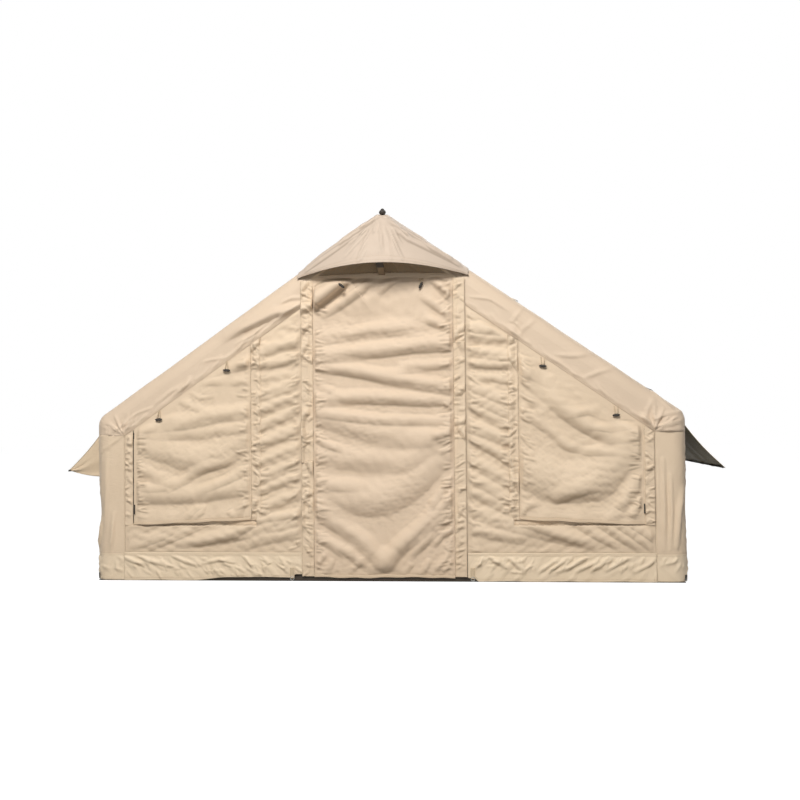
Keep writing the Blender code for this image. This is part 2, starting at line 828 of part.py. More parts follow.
zip_inset = 0.0015
zip_inner_x = door_cover_inner_x + zip_inset
zip_tape = 0.003
door_cover_low = 0.03
door_cover_rise = 0.082
door_cover_high = lintel_height + door_cover_rise
slider_width = 0.012
slider_height = 0.014
slider_depth = 0.008
slider_start = 0.10
cover_clearance = 0.001
cover_ramp_share = 0.31
cover_pucker_end_share = 0.5
door_flap_low = 0.022
door_fold_depth = 0.024
door_side_fade_share = 0.05
door_top_fade_share = 0.03
door_fold_shares = (
    (0.24, 0.99, -0.05, 0.86, 0.030, 1.0),
    (0.36, 0.99, 0.08, 0.84, 0.026, 0.6),
    (0.52, 0.99, 0.22, 0.84, 0.028, 0.6),
    (0.84, 0.98, 1.04, 0.86, 0.030, 0.6),
    (0.02, 0.80, 0.98, 0.76, 0.024, 0.5),
    (0.02, 0.72, 0.98, 0.70, 0.026, 0.6),
    (0.02, 0.64, 0.98, 0.62, 0.026, 0.6),
    (0.02, 0.56, 0.98, 0.55, 0.026, 0.7),
    (0.02, 0.48, 0.98, 0.47, 0.028, 0.7),
    (0.02, 0.36, 0.55, 0.31, 0.035, 0.8),
    (0.55, 0.31, 0.98, 0.38, 0.035, 0.8),
    (0.98, 0.28, 0.79, 0.12, 0.040, 1.0),
    (0.79, 0.12, 0.56, 0.04, 0.035, 0.8),
    (0.00, 0.21, 0.23, 0.14, 0.035, 0.8),
    (0.23, 0.14, 0.46, 0.05, 0.035, 0.8),
)


def make_door():
    half = door_cover_inner_x - door_flap_clearance
    top = lintel_height - door_flap_clearance
    height = top - door_flap_low

    def lay(x, z):
        across = (x + half) / (2 * half)
        up = (z - door_flap_low) / height
        relief = fold_relief(door_fold_shares, across, up, 2 * half, height)
        fade = edge_fade(across, door_side_fade_share) * min(1.0, (1 - up) / door_top_fade_share)
        return Vector((x, front_y - gap - cloth - relief * door_fold_depth * fade, z))

    flap = panel("door_flap", spread(-half, half, 16), spread(door_flap_low, top, 34), lay, (0, -1, 0),
                 pivot=(0, front_y - gap, top))
    paint(flap, beige, 0.75)


def make_door_zips():
    for side_name, side in sides():
        ends = sorted((side * (zip_inner_x + gap), side * (door_half_width - gap)))
        zip_track = box(f"door_zip_{side_name}", (ends[0], front_y + gap, door_cover_low),
                        (ends[1], front_y + gap + zip_tape, lintel_height - gap))
        paint(zip_track, webbing, 0.7)
        middle = side * (zip_inner_x + door_half_width) / 2
        low = (middle - slider_width / 2, front_y - slider_depth, slider_start)
        high = (middle + slider_width / 2, front_y + gap / 2, slider_start + slider_height)
        slider = box(f"door_zip_slider_{side_name}", low, high)
        paint(slider, black, 0.4, 0.6)


def make_door_covers():
    rise = slider_depth + cover_clearance
    for side_name, side in sides():
        width = door_cover_outer_x - door_cover_inner_x
        columns = [door_cover_outer_x, door_half_width - gap, (door_half_width + door_cover_inner_x) / 2,
                   door_cover_inner_x]

        def lay(x, share, side=side, width=width):
            z = door_cover_low + (door_cover_high - door_cover_low) * share
            free = (door_cover_outer_x - x) / width
            ripple = math.sin(share * pucker_count * 4 * math.pi) / 2 + 1 / 2
            lift = min(1.0, free / cover_ramp_share) * rise
            lift += cover_rise * ripple * math.sin(math.pi * min(free, cover_pucker_end_share))
            return Vector((side * x, front_y - gap - cover_cloth - lift, z))

        strip = panel(f"door_zip_cover_{side_name}", columns, spread(0.0, 1.0, pucker_count * 6), lay,
                      (0, -1, 0), thickness=cover_cloth)
        paint(strip, beige, 0.75)


# Skirts, rear wall and groundsheet

skirt_fold_depth = 0.006
skirt_fold_count = 9
skirt_fold_lean = 1.5
skirt_fade_share = 0.04
groundsheet_inset = 0.02
groundsheet_lip = 0.008


def make_skirts():
    start = door_cover_outer_x + gap
    end = corner_seam_x
    for side_name, side in sides():
        def lay(x, z, side=side):
            share = (x - start) / (end - start)
            up = (z - ground_gap) / (skirt_height - ground_gap)
            ripple = math.sin(share * skirt_fold_count * 2 * math.pi + up * skirt_fold_lean) / 2 + 1 / 2
            fade = edge_fade(share, skirt_fade_share) * math.sin(math.pi * min(1.0, max(0.0, up)))
            return Vector((side * x, front_y - skirt_fold_depth * ripple * fade, z))

        skirt = panel(f"front_skirt_{side_name}", spread(start, end, skirt_fold_count * 4),
                      spread(ground_gap, skirt_height, 3), lay, (0, -1, 0))
        paint(skirt, pale_beige, 0.75)


def make_rear_wall():
    half = [crown_half_width, half_width / 2, corner_seam_x]
    columns = [-x for x in reversed(half)] + half

    def lay(x, share):
        top = seam_height(x) - gap
        return Vector((x, back_y, ground_gap + (top - ground_gap) * share))

    wall = panel("rear_wall", columns, spread(0.0, 1.0, 3), lay, (0, 1, 0))
    paint(wall, beige, 0.75)


def make_groundsheet():
    edge = half_width - groundsheet_inset
    sheet = box("groundsheet", (-edge, front_y - groundsheet_lip, 0), (edge, back_y - groundsheet_inset,
                                                                  groundsheet_thickness))
    paint(sheet, olive, 0.7)


# Small fittings

finial_radius = 0.024
finial_foot_radius = 0.011
finial_height = 0.044
finial_waist_share = 0.45
finial_tip_share = 0.06
finial_setback_share = 0.6
anchor_width = 0.036
anchor_height = 0.05
anchor_thickness = 0.004
anchor_turn = math.radians(34)
strap_width = 0.034
strap_height = 0.095
strap_offset = {"left": 0.069, "right": 0.034}
tab_width = 0.03
tab_length = 0.10
tab_thickness = 0.004
tab_high_inset = 1.14
tab_low_inset = 0.24
tab_setback = 0.20


def make_finial():
    # The foot clears the hood's highest point under it, at the foot's rear edge.
    place_y = front_y + corner_radius * finial_setback_share
    rear_edge = place_y + finial_foot_radius
    share = (front_y + corner_radius - rear_edge) / (corner_radius + hood_reach)
    drop = hood_point(0.0, 0.0).z - hood_point(0.0, 1.0).z
    facet_dip = drop * share * (1 / hood_rows - share)
    base = hood_point(0.0, share).z - facet_dip + gap
    bm = bmesh.new()
    widest = base + finial_height * finial_waist_share
    for low, high, radius_low, radius_high in (
        (base, widest, finial_foot_radius, finial_radius),
        (widest, base + finial_height, finial_radius, finial_radius * finial_tip_share),
    ):
        made = bmesh.ops.create_cone(bm, cap_ends=False, segments=4, radius1=radius_low,
                                     radius2=radius_high, depth=high - low)
        bmesh.ops.translate(bm, verts=made["verts"], vec=(0, place_y, (low + high) / 2))
    bmesh.ops.remove_doubles(bm, verts=bm.verts, dist=merge_distance)
    bmesh.ops.holes_fill(bm, edges=bm.edges)
    bmesh.ops.recalc_face_normals(bm, faces=bm.faces)
    finial = add_mesh("ridge_finial", bm)
    paint(finial, black, 0.35)


def make_anchors():
    # Each anchor lies flat on the rounded corner, turned towards the side.
    for side_name, side in sides():
        for place, y, way in (("front", front_y + corner_radius, -1), ("rear", back_y - corner_radius, 1)):
            near = corner_radius + gap
            anchor = box(f"corner_anchor_{place}_{side_name}", (near, -anchor_width / 2, ground_gap),
                         (near + anchor_thickness, anchor_width / 2, anchor_height), pivot=(0, 0, 0))
            anchor.location = (side * corner_x, y, 0)
            anchor.rotation_euler.z = way * side * anchor_turn + (math.pi if side < 0 else 0)
            paint(anchor, black, 0.6)


def make_peg_straps():
    face = front_y - skirt_fold_depth - gap
    for side_name, side in sides():
        x = side * (door_cover_outer_x + strap_offset[side_name])
        strap = box(f"peg_strap_{side_name}", (x - strap_width / 2, face - anchor_thickness, ground_gap),
                    (x + strap_width / 2, face, strap_height))
        paint(strap, webbing, 0.7)


def make_guy_tabs():
    for place, inset in (("high", tab_high_inset), ("low", tab_low_inset)):
        x = half_width - inset
        foot = Vector((x, front_y + tab_setback, roof_line(x)))
        up = Vector((math.sin(pitch), 0, math.cos(pitch)))
        bm = bmesh.new()
        bmesh.ops.create_cube(bm, size=1.0)
        bmesh.ops.scale(bm, verts=bm.verts, vec=(tab_length, tab_width, tab_thickness))
        turn = up.to_track_quat("Z", "Y").to_matrix()
        bmesh.ops.rotate(bm, verts=bm.verts, matrix=turn)
        bmesh.ops.translate(bm, verts=bm.verts, vec=foot + up * (gap + tab_thickness / 2))
        paint(add_mesh(f"guy_tab_{place}", bm, pivot=foot), black, 0.6)


def main():
    start_scene()
    make_arches()
    make_side_tubes()
    make_valve()
    make_roofs()
    make_side_walls()
    make_side_nets()
    make_canopies()
    make_front_walls()
    make_window_flaps()
    make_window_covers()
    make_window_pulls()
    make_toggles()
    make_gable()
    make_hood()
    make_prop()
    make_door()
    make_door_zips()
    make_door_covers()
    make_skirts()
    make_rear_wall()
    make_groundsheet()
    make_finial()
    make_anchors()
    make_peg_straps()
    make_guy_tabs()


main()
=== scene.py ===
# Looks of the inflatable gable tent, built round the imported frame. Metres, +Z up, the door faces -Y.
import math

import bmesh
import bpy
import numpy as np
from mathutils import Matrix, Vector


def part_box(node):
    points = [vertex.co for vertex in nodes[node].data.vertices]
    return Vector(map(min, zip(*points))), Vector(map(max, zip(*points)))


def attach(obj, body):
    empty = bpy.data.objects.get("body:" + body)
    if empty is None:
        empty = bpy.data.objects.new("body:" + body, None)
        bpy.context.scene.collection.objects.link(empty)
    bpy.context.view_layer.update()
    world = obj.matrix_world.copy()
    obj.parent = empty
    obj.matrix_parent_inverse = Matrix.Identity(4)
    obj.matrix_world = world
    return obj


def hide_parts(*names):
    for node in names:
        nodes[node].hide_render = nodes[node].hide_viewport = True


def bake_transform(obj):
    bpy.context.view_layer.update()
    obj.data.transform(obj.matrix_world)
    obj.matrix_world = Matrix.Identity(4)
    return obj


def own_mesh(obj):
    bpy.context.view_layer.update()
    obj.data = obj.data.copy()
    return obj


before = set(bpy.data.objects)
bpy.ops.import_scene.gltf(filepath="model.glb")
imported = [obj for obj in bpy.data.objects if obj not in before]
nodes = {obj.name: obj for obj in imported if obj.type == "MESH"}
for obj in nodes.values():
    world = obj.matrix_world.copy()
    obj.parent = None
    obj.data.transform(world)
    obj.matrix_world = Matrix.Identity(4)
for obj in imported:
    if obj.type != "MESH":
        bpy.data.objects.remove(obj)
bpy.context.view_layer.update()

# Main sizes of the shell, as in the CAD
halfWidth = 2.0
frontY = -1.4
backY = 1.6
ridgeHeight = 2.50
eaveHeight = 1.11
crownHalf = 0.034
cornerRadius = 0.10
bandWidth = 0.22
lintelSeam = 2.043  # where the door cloth is sewn to the gable
windowInner = 0.88
windowOuter = 1.728
cornerSeam = 1.787
skirtTop = 0.18
skirtSeam = 0.185
cornerX = halfWidth - cornerRadius
slope = (ridgeHeight - eaveHeight) / halfWidth
pitch = math.atan(slope)
shoulderHeight = ridgeHeight - cornerRadius / math.cos(pitch) - slope * cornerX
shoulderSeam = 0.9901
sideNames = (("left", -1), ("right", 1))


def roofTop(x, inset=0.0):
    # a line parallel to the roof, an inset below it, with its flat crown
    return ridgeHeight - inset / math.cos(pitch) - slope * np.maximum(np.abs(x), crownHalf)


def seamHeight(x):
    return roofTop(x, bandWidth)


# Shader wires: one socket, with the maths that the finishes use
class Wire:
    def __init__(self, tree, socket):
        self.tree = tree
        self.socket = socket

    def node(self, kind, settings=None, sockets=None, output=0):
        made = self.tree.nodes.new(kind)
        for key, value in (settings or {}).items():
            if key == "stops":
                while len(made.color_ramp.elements) < len(value):
                    made.color_ramp.elements.new(0.5)
                for stop, (place, colour) in zip(made.color_ramp.elements, value):
                    stop.position = place
                    stop.color = (*colour, 1.0)
            else:
                setattr(made, key, value)
        for key, value in (sockets or {}).items():
            if isinstance(value, Wire):
                self.tree.links.new(value.socket, made.inputs[key])
            else:
                made.inputs[key].default_value = value
        return Wire(self.tree, made.outputs[output])

    def maths(self, operation, first, second=0.0):
        return self.node("ShaderNodeMath", {"operation": operation}, {0: first, 1: second})

    def __add__(self, other):
        return self.maths("ADD", self, other)

    def __radd__(self, other):
        return self.maths("ADD", other, self)

    def __sub__(self, other):
        return self.maths("SUBTRACT", self, other)

    def __rsub__(self, other):
        return self.maths("SUBTRACT", other, self)

    def __mul__(self, other):
        return self.maths("MULTIPLY", self, other)

    def __rmul__(self, other):
        return self.maths("MULTIPLY", other, self)

    def __gt__(self, other):
        return self.maths("GREATER_THAN", self, other)

    def sine(self):
        return self.maths("SINE", self)

    def absolute(self):
        return self.maths("ABSOLUTE", self)

    def within(self, low, high):
        return self.node("ShaderNodeClamp", {}, {0: self, 1: low, 2: high})

    def spread(self, low, high, first, last):
        return self.node("ShaderNodeMapRange", {}, {0: self, 1: low, 2: high, 3: first, 4: last})

    def parts(self):
        made = self.node("ShaderNodeSeparateXYZ", sockets={0: self})
        return [Wire(self.tree, socket) for socket in made.socket.node.outputs]

    def noise(self, scale, detail, **more):
        return self.node("ShaderNodeTexNoise", {}, {"Vector": self, "Scale": scale, "Detail": detail, **more})

    def bump(self, strength, distance, **more):
        return self.node("ShaderNodeBump", {},
                         {"Strength": strength, "Distance": distance, "Height": self, **more})


def srgb(red, green, blue):
    # a colour as it is read off a picture, 0 to 255
    return tuple(((c / 255 + 0.055) / 1.055) ** 2.4 for c in (red, green, blue))


def startFinish(name):
    finish = bpy.data.materials.new(name)
    finish.use_nodes = True
    tree = finish.node_tree
    shader = tree.nodes["Principled BSDF"]
    start = Wire(tree, shader.outputs[0])
    return finish, shader, start, start.node("ShaderNodeTexCoord", output=3)


def feed(shader, wires):
    for key, wire in wires.items():
        wire.tree.links.new(wire.socket, shader.inputs[key])


def mixColour(factor, first, second):
    ends = [value if isinstance(value, Wire) else (*value, 1.0) for value in (first, second)]
    return factor.node("ShaderNodeMix", {"data_type": "RGBA"}, {0: factor, 6: ends[0], 7: ends[1]}, output=2)


clothLooks = {"weavePitch": 0.0016, "weaveDepth": 0.00036, "crinkleDepth": 0.0048, "blotch": 0.40,
              "foldShadeStrength": 0.75, "roughness": 0.58, "sheen": 0.10}


def clothFinish(name, colour, shade, dusty=None, weave=1.0, crinkle=1.0, roughness=clothLooks["roughness"]):
    # coated tent cloth: plain weave, fine crinkles, uneven colour, and painted shade on the down-facing sides
    # of folds and in their hollows
    finish, shader, start, place = startFinish(name)
    across, along, _ = start.node("ShaderNodeUVMap", {"uv_map": "cut"}).parts()
    turn = 2 * math.pi / clothLooks["weavePitch"]
    threads = (across * turn).sine() * (along * turn).sine()
    blotch = place.noise(2.3, 4.0, Roughness=0.6)
    speck = place.noise(90.0, 2.0)
    crease = start.node("ShaderNodeAttribute", {"attribute_name": "crease"}, output=2)
    uneven = (blotch - 0.5) * clothLooks["blotch"] + (speck - 0.5) * 0.12 + threads * 0.02 + 0.30
    base = mixColour(uneven.within(0.0, 1.0), colour, shade)
    # painted shade: the colour turns towards a darker copy of the shade colour where the fold shade attribute
    # is high
    paintedShade = (crease * clothLooks["foldShadeStrength"]).within(0.0, 0.8)
    base = mixColour(paintedShade, base, tuple(c * 0.72 for c in shade))
    if dusty is not None:
        low = place.parts()[2].spread(0.30, 0.0, 0.0, 1.0)
        base = mixColour(low * place.noise(7.0, 5.0) * 0.55, base, dusty)
    stretch = start.node("ShaderNodeMapping", {}, {"Vector": place, "Scale": (7.0, 7.0, 19.0)})
    fine = stretch.noise(1.6, 4.0, Roughness=0.55, Distortion=0.7)
    crinkles = (1.0 - (fine * 2 - 1).absolute()) * place.noise(11.0, 3.0)
    soft = crinkles.bump(0.55 * crinkle, clothLooks["crinkleDepth"])
    feed(shader, {"Base Color": base, "Roughness": (speck - 0.5) * 0.10 + roughness + crease * 0.08,
                  "Normal": threads.bump(0.35 * weave, clothLooks["weaveDepth"], Normal=soft)})
    shader.inputs["Specular IOR Level"].default_value = 0.32
    shader.inputs["Sheen Weight"].default_value = clothLooks["sheen"]
    shader.inputs["Sheen Roughness"].default_value = 0.45
    return finish


def webbingFinish(name, colour, shade):
    # woven tape: diagonal ribs and a worn edge
    finish, shader, _, place = startFinish(name)
    x, y, z = place.parts()
    ribs = ((x + y) * 2600.0 + z * 1900.0).sine()
    weave = ribs * ((x - y) * 1500.0 - z * 2900.0).sine() * 0.25 + 0.5
    wear = place.noise(60.0, 4.0)
    feed(shader, {"Base Color": mixColour(weave * 0.5 + wear * 0.4, shade, colour),
                  "Roughness": wear * 0.2 + 0.62, "Normal": weave.bump(0.5, 0.0006)})
    return finish


def plasticFinish(name, colour, worn, roughness=0.42):
    # moulded plastic: fine grain, and paler where it is rubbed
    finish, shader, _, place = startFinish(name)
    grain, wear = place.noise(900.0, 2.0), place.noise(70.0, 5.0)
    feed(shader, {"Base Color": mixColour(wear.spread(0.55, 0.75, 0.0, 0.6), colour, worn),
                  "Roughness": grain * 0.12 + wear * 0.14 + (roughness - 0.10),
                  "Normal": grain.bump(0.3, 0.0003)})
    return finish


def metalFinish(name, colour, roughness):
    # plated metal: brushed along its length, a little tarnished
    finish, shader, start, place = startFinish(name)
    brush = start.node("ShaderNodeMapping", {}, {"Vector": place, "Scale": (400.0, 400.0, 40.0)})
    lines, tarnish = brush.noise(3.0, 3.0), place.noise(120.0, 4.0)
    feed(shader, {"Base Color": mixColour(tarnish * 0.7, colour, tuple(c * 0.45 for c in colour)),
                  "Roughness": lines * 0.25 + tarnish * 0.15 + (roughness - 0.15),
                  "Normal": lines.bump(0.2, 0.0002)})
    shader.inputs["Metallic"].default_value = 1.0
    return finish


def netFinish(name, colour, thread=0.0026, share=0.34):
    # fine net: threads both ways, with open holes between them
    finish, shader, start, place = startFinish(name)
    across, along, _ = start.node("ShaderNodeUVMap", {"uv_map": "cut"}).parts()
    warp, weft = [(way * (math.pi / thread)).sine().absolute() for way in (across, along)]
    dust = place.noise(12.0, 4.0)
    feed(shader, {"Base Color": mixColour(dust * 0.6, colour, tuple(c * 1.8 for c in colour)),
                  "Alpha": 1.0 - (warp > share) * (weft > share) * 0.8, "Roughness": dust * 0.2 + 0.6})
    return finish


print("finishes")
wallCloth = clothFinish("wall_cloth", srgb(231, 210, 183), srgb(214, 190, 161), dusty=srgb(196, 172, 142))
doorCloth = clothFinish("door_cloth", srgb(229, 207, 182), srgb(212, 188, 160), dusty=srgb(196, 172, 142))
roofCloth = clothFinish("roof_cloth", srgb(226, 205, 181), srgb(211, 188, 162), crinkle=0.7)
# hood cloth: greyer than the roof, partly its own tone and partly painted shade, as the up-facing hood
# catches more of the light from above
hoodCloth = clothFinish("hood_cloth_painted_shade", srgb(210, 193, 176), srgb(192, 173, 154), crinkle=0.9)
# skirt cloth: paler than the walls, partly for its own warmer tone and partly as painted light, since less
# light falls low down
skirtClothPaintedLight = clothFinish("skirt_cloth_painted_light", srgb(243, 224, 197), srgb(231, 210, 180), dusty=srgb(206, 183, 150))
innerCloth = clothFinish("inner_cloth", srgb(164, 150, 128), srgb(140, 125, 103), crinkle=0.6)
canopyTop = clothFinish("canopy_cloth", srgb(226, 205, 176), srgb(208, 186, 157), crinkle=0.7)
# canopy underside: a dark olive copy of the canopy cloth, painted shade for the underside that lies in shadow
canopyUndersideShade = clothFinish("canopy_underside_painted_shade", srgb(104, 94, 54), srgb(88, 78, 42), crinkle=0.7)
groundCloth = clothFinish("ground_cloth", srgb(58, 47, 34), srgb(34, 27, 19), roughness=0.5)
hemCloth = clothFinish("hem_cloth", srgb(222, 200, 172), srgb(202, 178, 149), crinkle=0.8)
tubeSkin = clothFinish("tube_skin", srgb(205, 207, 208), srgb(182, 185, 188), weave=0.3, crinkle=0.5,
                       roughness=0.42)
netCloth = netFinish("net_cloth", srgb(150, 127, 102))
ventCloth = netFinish("vent_cloth", srgb(194, 168, 134), share=0.6)
threadFinish = webbingFinish("sewing_thread", srgb(205, 184, 154), srgb(178, 154, 124))
blackTape = webbingFinish("black_tape", srgb(62, 54, 44), srgb(30, 25, 19))
ventTape = webbingFinish("vent_tape", srgb(150, 128, 100), srgb(120, 100, 76))
zipTapeFinish = webbingFinish("zip_tape", srgb(196, 176, 146), srgb(164, 142, 112))
paleTape = webbingFinish("pale_tape", srgb(222, 204, 176), srgb(190, 168, 137))
blackPlastic = plasticFinish("black_plastic", srgb(34, 28, 22), srgb(60, 51, 42), roughness=0.6)
zipPlastic = plasticFinish("zip_plastic", srgb(120, 102, 80), srgb(160, 142, 116))
zipMetal = metalFinish("zip_metal", srgb(150, 142, 130), 0.38)
ringMetal = metalFinish("ring_metal", srgb(168, 166, 160), 0.34)


# Mesh makers
def placed(name, data):
    thing = bpy.data.objects.new(name, data)
    bpy.context.scene.collection.objects.link(thing)
    return thing


def addCut(mesh, cut):
    # the flat cut as a UV map, and the attribute for the painted fold shade
    corners = np.zeros(len(mesh.loops), np.int32)
    mesh.loops.foreach_get("vertex_index", corners)
    layer = mesh.uv_layers.new(name="cut")
    layer.data.foreach_set("uv", np.ascontiguousarray(cut[corners], np.float32).ravel())
    return mesh.attributes.new("crease", "FLOAT", "POINT")


def makeMesh(name, points, quads, cut, crease, finishes, thickness):
    mesh = bpy.data.meshes.new(name)
    mesh.vertices.add(len(points))
    mesh.vertices.foreach_set("co", np.ascontiguousarray(points, np.float32).ravel())
    mesh.loops.add(len(quads) * 4)
    mesh.loops.foreach_set("vertex_index", np.ascontiguousarray(quads, np.int32).ravel())
    mesh.polygons.add(len(quads))
    mesh.polygons.foreach_set("loop_start", np.arange(len(quads), dtype=np.int32) * 4)
    mesh.update(calc_edges=True)
    mesh.validate()
    mesh.polygons.foreach_set("use_smooth", np.ones(len(mesh.polygons), bool))
    tint = addCut(mesh, cut)
    if crease is not None:
        tint.data.foreach_set("value", np.ascontiguousarray(crease, np.float32).ravel())
    piece = placed(name, mesh)
    for finish in finishes:
        mesh.materials.append(finish)
    if thickness:
        shell = piece.modifiers.new("Cloth thickness", "SOLIDIFY")
        shell.thickness = thickness
        shell.offset = -1.0
        shell.use_even_offset = False
        if len(finishes) > 1:
            shell.material_offset = 1
    return piece


def gridQuads(rows, columns, keep, flip):
    index = np.arange(rows * columns).reshape(rows, columns)
    order = [index[:-1, :-1], index[:-1, 1:], index[1:, 1:], index[1:, :-1]]
    if flip:
        order = order[::-1]
    quads = np.stack(order, -1).reshape(-1, 4)
    return quads if keep is None else quads[np.asarray(keep, bool).ravel()]


def clothGrid(name, points, finishes, thickness=0.0016, keep=None, flip=False, crease=None):
    # a sheet from a grid of points, rows by columns, with its flat cut as its UV map
    rows, columns = points.shape[:2]
    across = np.linalg.norm(np.diff(points, axis=1), axis=2)
    along = np.linalg.norm(np.diff(points, axis=0), axis=2)
    u = np.concatenate([np.zeros((rows, 1)), np.cumsum(across, 1)], 1)
    v = np.concatenate([np.zeros((1, columns)), np.cumsum(along, 0)], 0)
    u = u - u[:, columns // 2: columns // 2 + 1]
    cut = np.stack([u, v], -1).reshape(-1, 2)
    quads = gridQuads(rows, columns, keep, flip)
    used = np.unique(quads)
    place = np.full(rows * columns, -1)
    place[used] = np.arange(len(used))
    flat = points.reshape(-1, 3)[used]
    tint = None if crease is None else crease.reshape(-1)[used]
    return makeMesh(name, flat, place[quads], cut[used], tint, finishes, thickness)


def steps(start, end, size):
    return np.linspace(start, end, max(2, int(round(abs(end - start) / size)) + 1))


def edgedSteps(start, end, edge, fine, coarse):
    # closer together near both ends
    return np.concatenate([steps(start, start + edge, fine)[:-1],
                           steps(start + edge, end - edge, coarse)[:-1], steps(end - edge, end, fine)])


def facing(xs, side):
    # from the middle to a side, always listed from left to right
    return side * (xs if side > 0 else xs[::-1])


def spanRows(xs, rows):
    # the x of a grid, and the share of the way up its rows
    return np.repeat(xs[None], rows, 0), np.linspace(0, 1, rows)[:, None]


def wholeCells(inside):
    # the cells of a grid that have all four corners inside
    return inside[:-1, :-1] & inside[1:, :-1] & inside[:-1, 1:] & inside[1:, 1:]


def lengthAlong(points):
    return np.concatenate([[0], np.cumsum(np.linalg.norm(np.diff(points, axis=0), axis=1))])


def smooth(value):
    value = np.clip(value, 0.0, 1.0)
    return value * value * (3 - 2 * value)


def gridNormals(points):
    down = np.gradient(points, axis=0)
    over = np.gradient(points, axis=1)
    normal = np.cross(over, down)
    size = np.linalg.norm(normal, axis=2, keepdims=True)
    return normal / np.maximum(size, 1e-12), size[..., 0] > 1e-10


# Folds: the lower or shaded side of each one lies along its points
lightTilt = np.array([-0.38, 0.92])


def levelled(relief, z, span, limit):
    # takes the slow rise of many folds away, so that each one keeps its slope
    rows = max(2, int(span / max(1e-4, float(np.mean(np.abs(np.diff(z, axis=0)))))))
    mean = relief
    for _ in range(2):
        padded = np.concatenate([mean[rows:0:-1], mean, mean[-2:-rows - 2:-1]], 0)
        run = np.cumsum(np.concatenate([np.zeros_like(padded[:1]), padded], 0), 0)
        mean = (run[rows:] - run[:-rows])[rows // 2: rows // 2 + len(relief)] / rows
    value = relief - mean * 0.75 + 0.008
    value = (value + np.sqrt(value * value + 0.004 ** 2)) / 2
    return limit * np.tanh(value / limit)


def handFolds(rows):
    # width and depth in millimetres, strength at both ends, then x and z in centimetres
    return [(width / 1000, depth / 1000, first, last,
             [(x / 100, z / 100) for x, z in zip(places[::2], places[1::2])])
            for width, depth, first, last, *places in rows]


def scattered(seed, count, draw):
    rng = np.random.default_rng(seed)
    return [draw(rng) for _ in range(count)]


def foldField(folds, x, z, limit=0.07, boost=1.0, level=None, spread=1.5):
    # entry: width of the shaded side, depth, strength at the start and at the end, points
    total = np.zeros_like(x)
    for band, depth, first, last, path in folds:
        low = np.min(np.array(path), 0) - 7 * band
        high = np.max(np.array(path), 0) + 7 * band
        near = (x > low[0]) & (x < high[0]) & (z > low[1]) & (z < high[1])
        if not near.any():
            continue
        px, pz = x[near], z[near]
        band, depth = (band * spread, depth * 2.7 * boost) if depth > 0.0045 else (band, depth * 1.9)
        best = np.full(px.shape, 1e9)
        height = np.zeros_like(px)
        lengths = [0.0]
        for a, b in zip(path, path[1:]):
            lengths.append(lengths[-1] + math.dist(a, b))
        for number, (a, b) in enumerate(zip(path, path[1:])):
            run = np.array(b) - np.array(a)
            size = np.hypot(*run)
            normal = np.array([-run[1], run[0]]) / size
            if normal @ lightTilt < 0:
                normal = -normal
            share = ((px - a[0]) * run[0] + (pz - a[1]) * run[1]) / size ** 2
            inside = np.clip(share, 0, 1)
            over = np.abs(share - inside) * size
            side = (px - a[0] - run[0] * inside) * normal[0] + (pz - a[1] - run[1] * inside) * normal[1]
            distance = np.abs(side) + over
            closer = distance < best
            way = (lengths[number] + inside * size) / lengths[-1]
            rising, falling = first + (1 - first) * way * 4, last + (1 - last) * (1 - way) * 4
            strength = np.minimum(1.0, np.minimum(rising, falling))
            u = side / band
            soft = (u + np.sqrt(u * u + 0.03)) / 2  # crisp on its lower side
            rise = (1 - np.exp(-1.5 * soft ** 1.25)) * (1 - smooth((u - 0.9) / 2.2))
            fade = np.exp(-(over / (1.3 * band)) ** 2)
            height = np.where(closer, rise * strength * fade * depth, height)
            best = np.where(closer, distance, best)
        total[near] += height
    return total if level is None else levelled(total, z, level, limit)


def waves(x, z, seed, length, lean=0.0, fan=0.5, count=10):
    # a smooth random field whose ridges run mostly across, leaned by an angle
    rng = np.random.default_rng(seed)
    total = np.zeros_like(x)
    for _ in range(count):
        angle = lean + rng.normal(0, fan)
        turn = 2 * math.pi / (length * rng.uniform(0.7, 1.5))
        total += np.sin(turn * (x * math.sin(angle) + z * math.cos(angle)) + rng.uniform(0, 2 * math.pi))
    return total / math.sqrt(count)


def crinkled(x, z, seed, depth=0.0007):
    # fine creasing that comes and goes over the cloth
    patches = smooth(waves(x, z, seed + 900, 0.5, fan=2.0) * 0.8 + 0.45)
    return depth * patches * waves(x, z, seed, 0.036, lean=0.2, fan=0.8, count=14)


def seamPuckers(seed, side, low, high, count):
    # short creases above the band's lower seam
    def draw(rng):
        x = side * rng.uniform(low, high)
        z = float(seamHeight(np.array(x))) + 0.004
        turn, run = rng.uniform(-0.2, 1.1), rng.uniform(0.03, 0.11)
        end = (x - side * run * math.cos(turn), z + run * math.sin(turn) + run * 0.4)
        return rng.uniform(0.010, 0.016), rng.uniform(0.001, 0.0028), 0.9, 0.0, [(x, z), end]

    return scattered(seed, count, draw)


def shoulderCreases(seed, side, count):
    # fine creases that fan up from the top of the corner post
    def draw(rng):
        turn, start, run = rng.uniform(-0.1, 2.5), rng.uniform(0.01, 0.10), rng.uniform(0.04, 0.13)
        ends = [(side * (1.79 + far * math.cos(turn)), 0.985 + far * math.sin(turn))
                for far in (start, start + run)]
        return rng.uniform(0.006, 0.011), rng.uniform(0.0012, 0.0032), 0.7, 0.1, ends

    return scattered(seed, count, draw)


def puckers(seed, edge, low, high, way, count, reach=(0.03, 0.12), rise=0.3):
    # short creases that fan from a sewn edge
    def draw(rng):
        z, run = rng.uniform(low, high), rng.uniform(*reach)
        climb = rise * run + rng.normal(0, 0.25) * run
        path = [(edge, z), (edge + way * run * 0.5, z + climb * 0.6), (edge + way * run, z + climb)]
        return rng.uniform(0.007, 0.013), rng.uniform(0.0016, 0.0044), 0.9, 0.0, path

    return scattered(seed, count, draw)


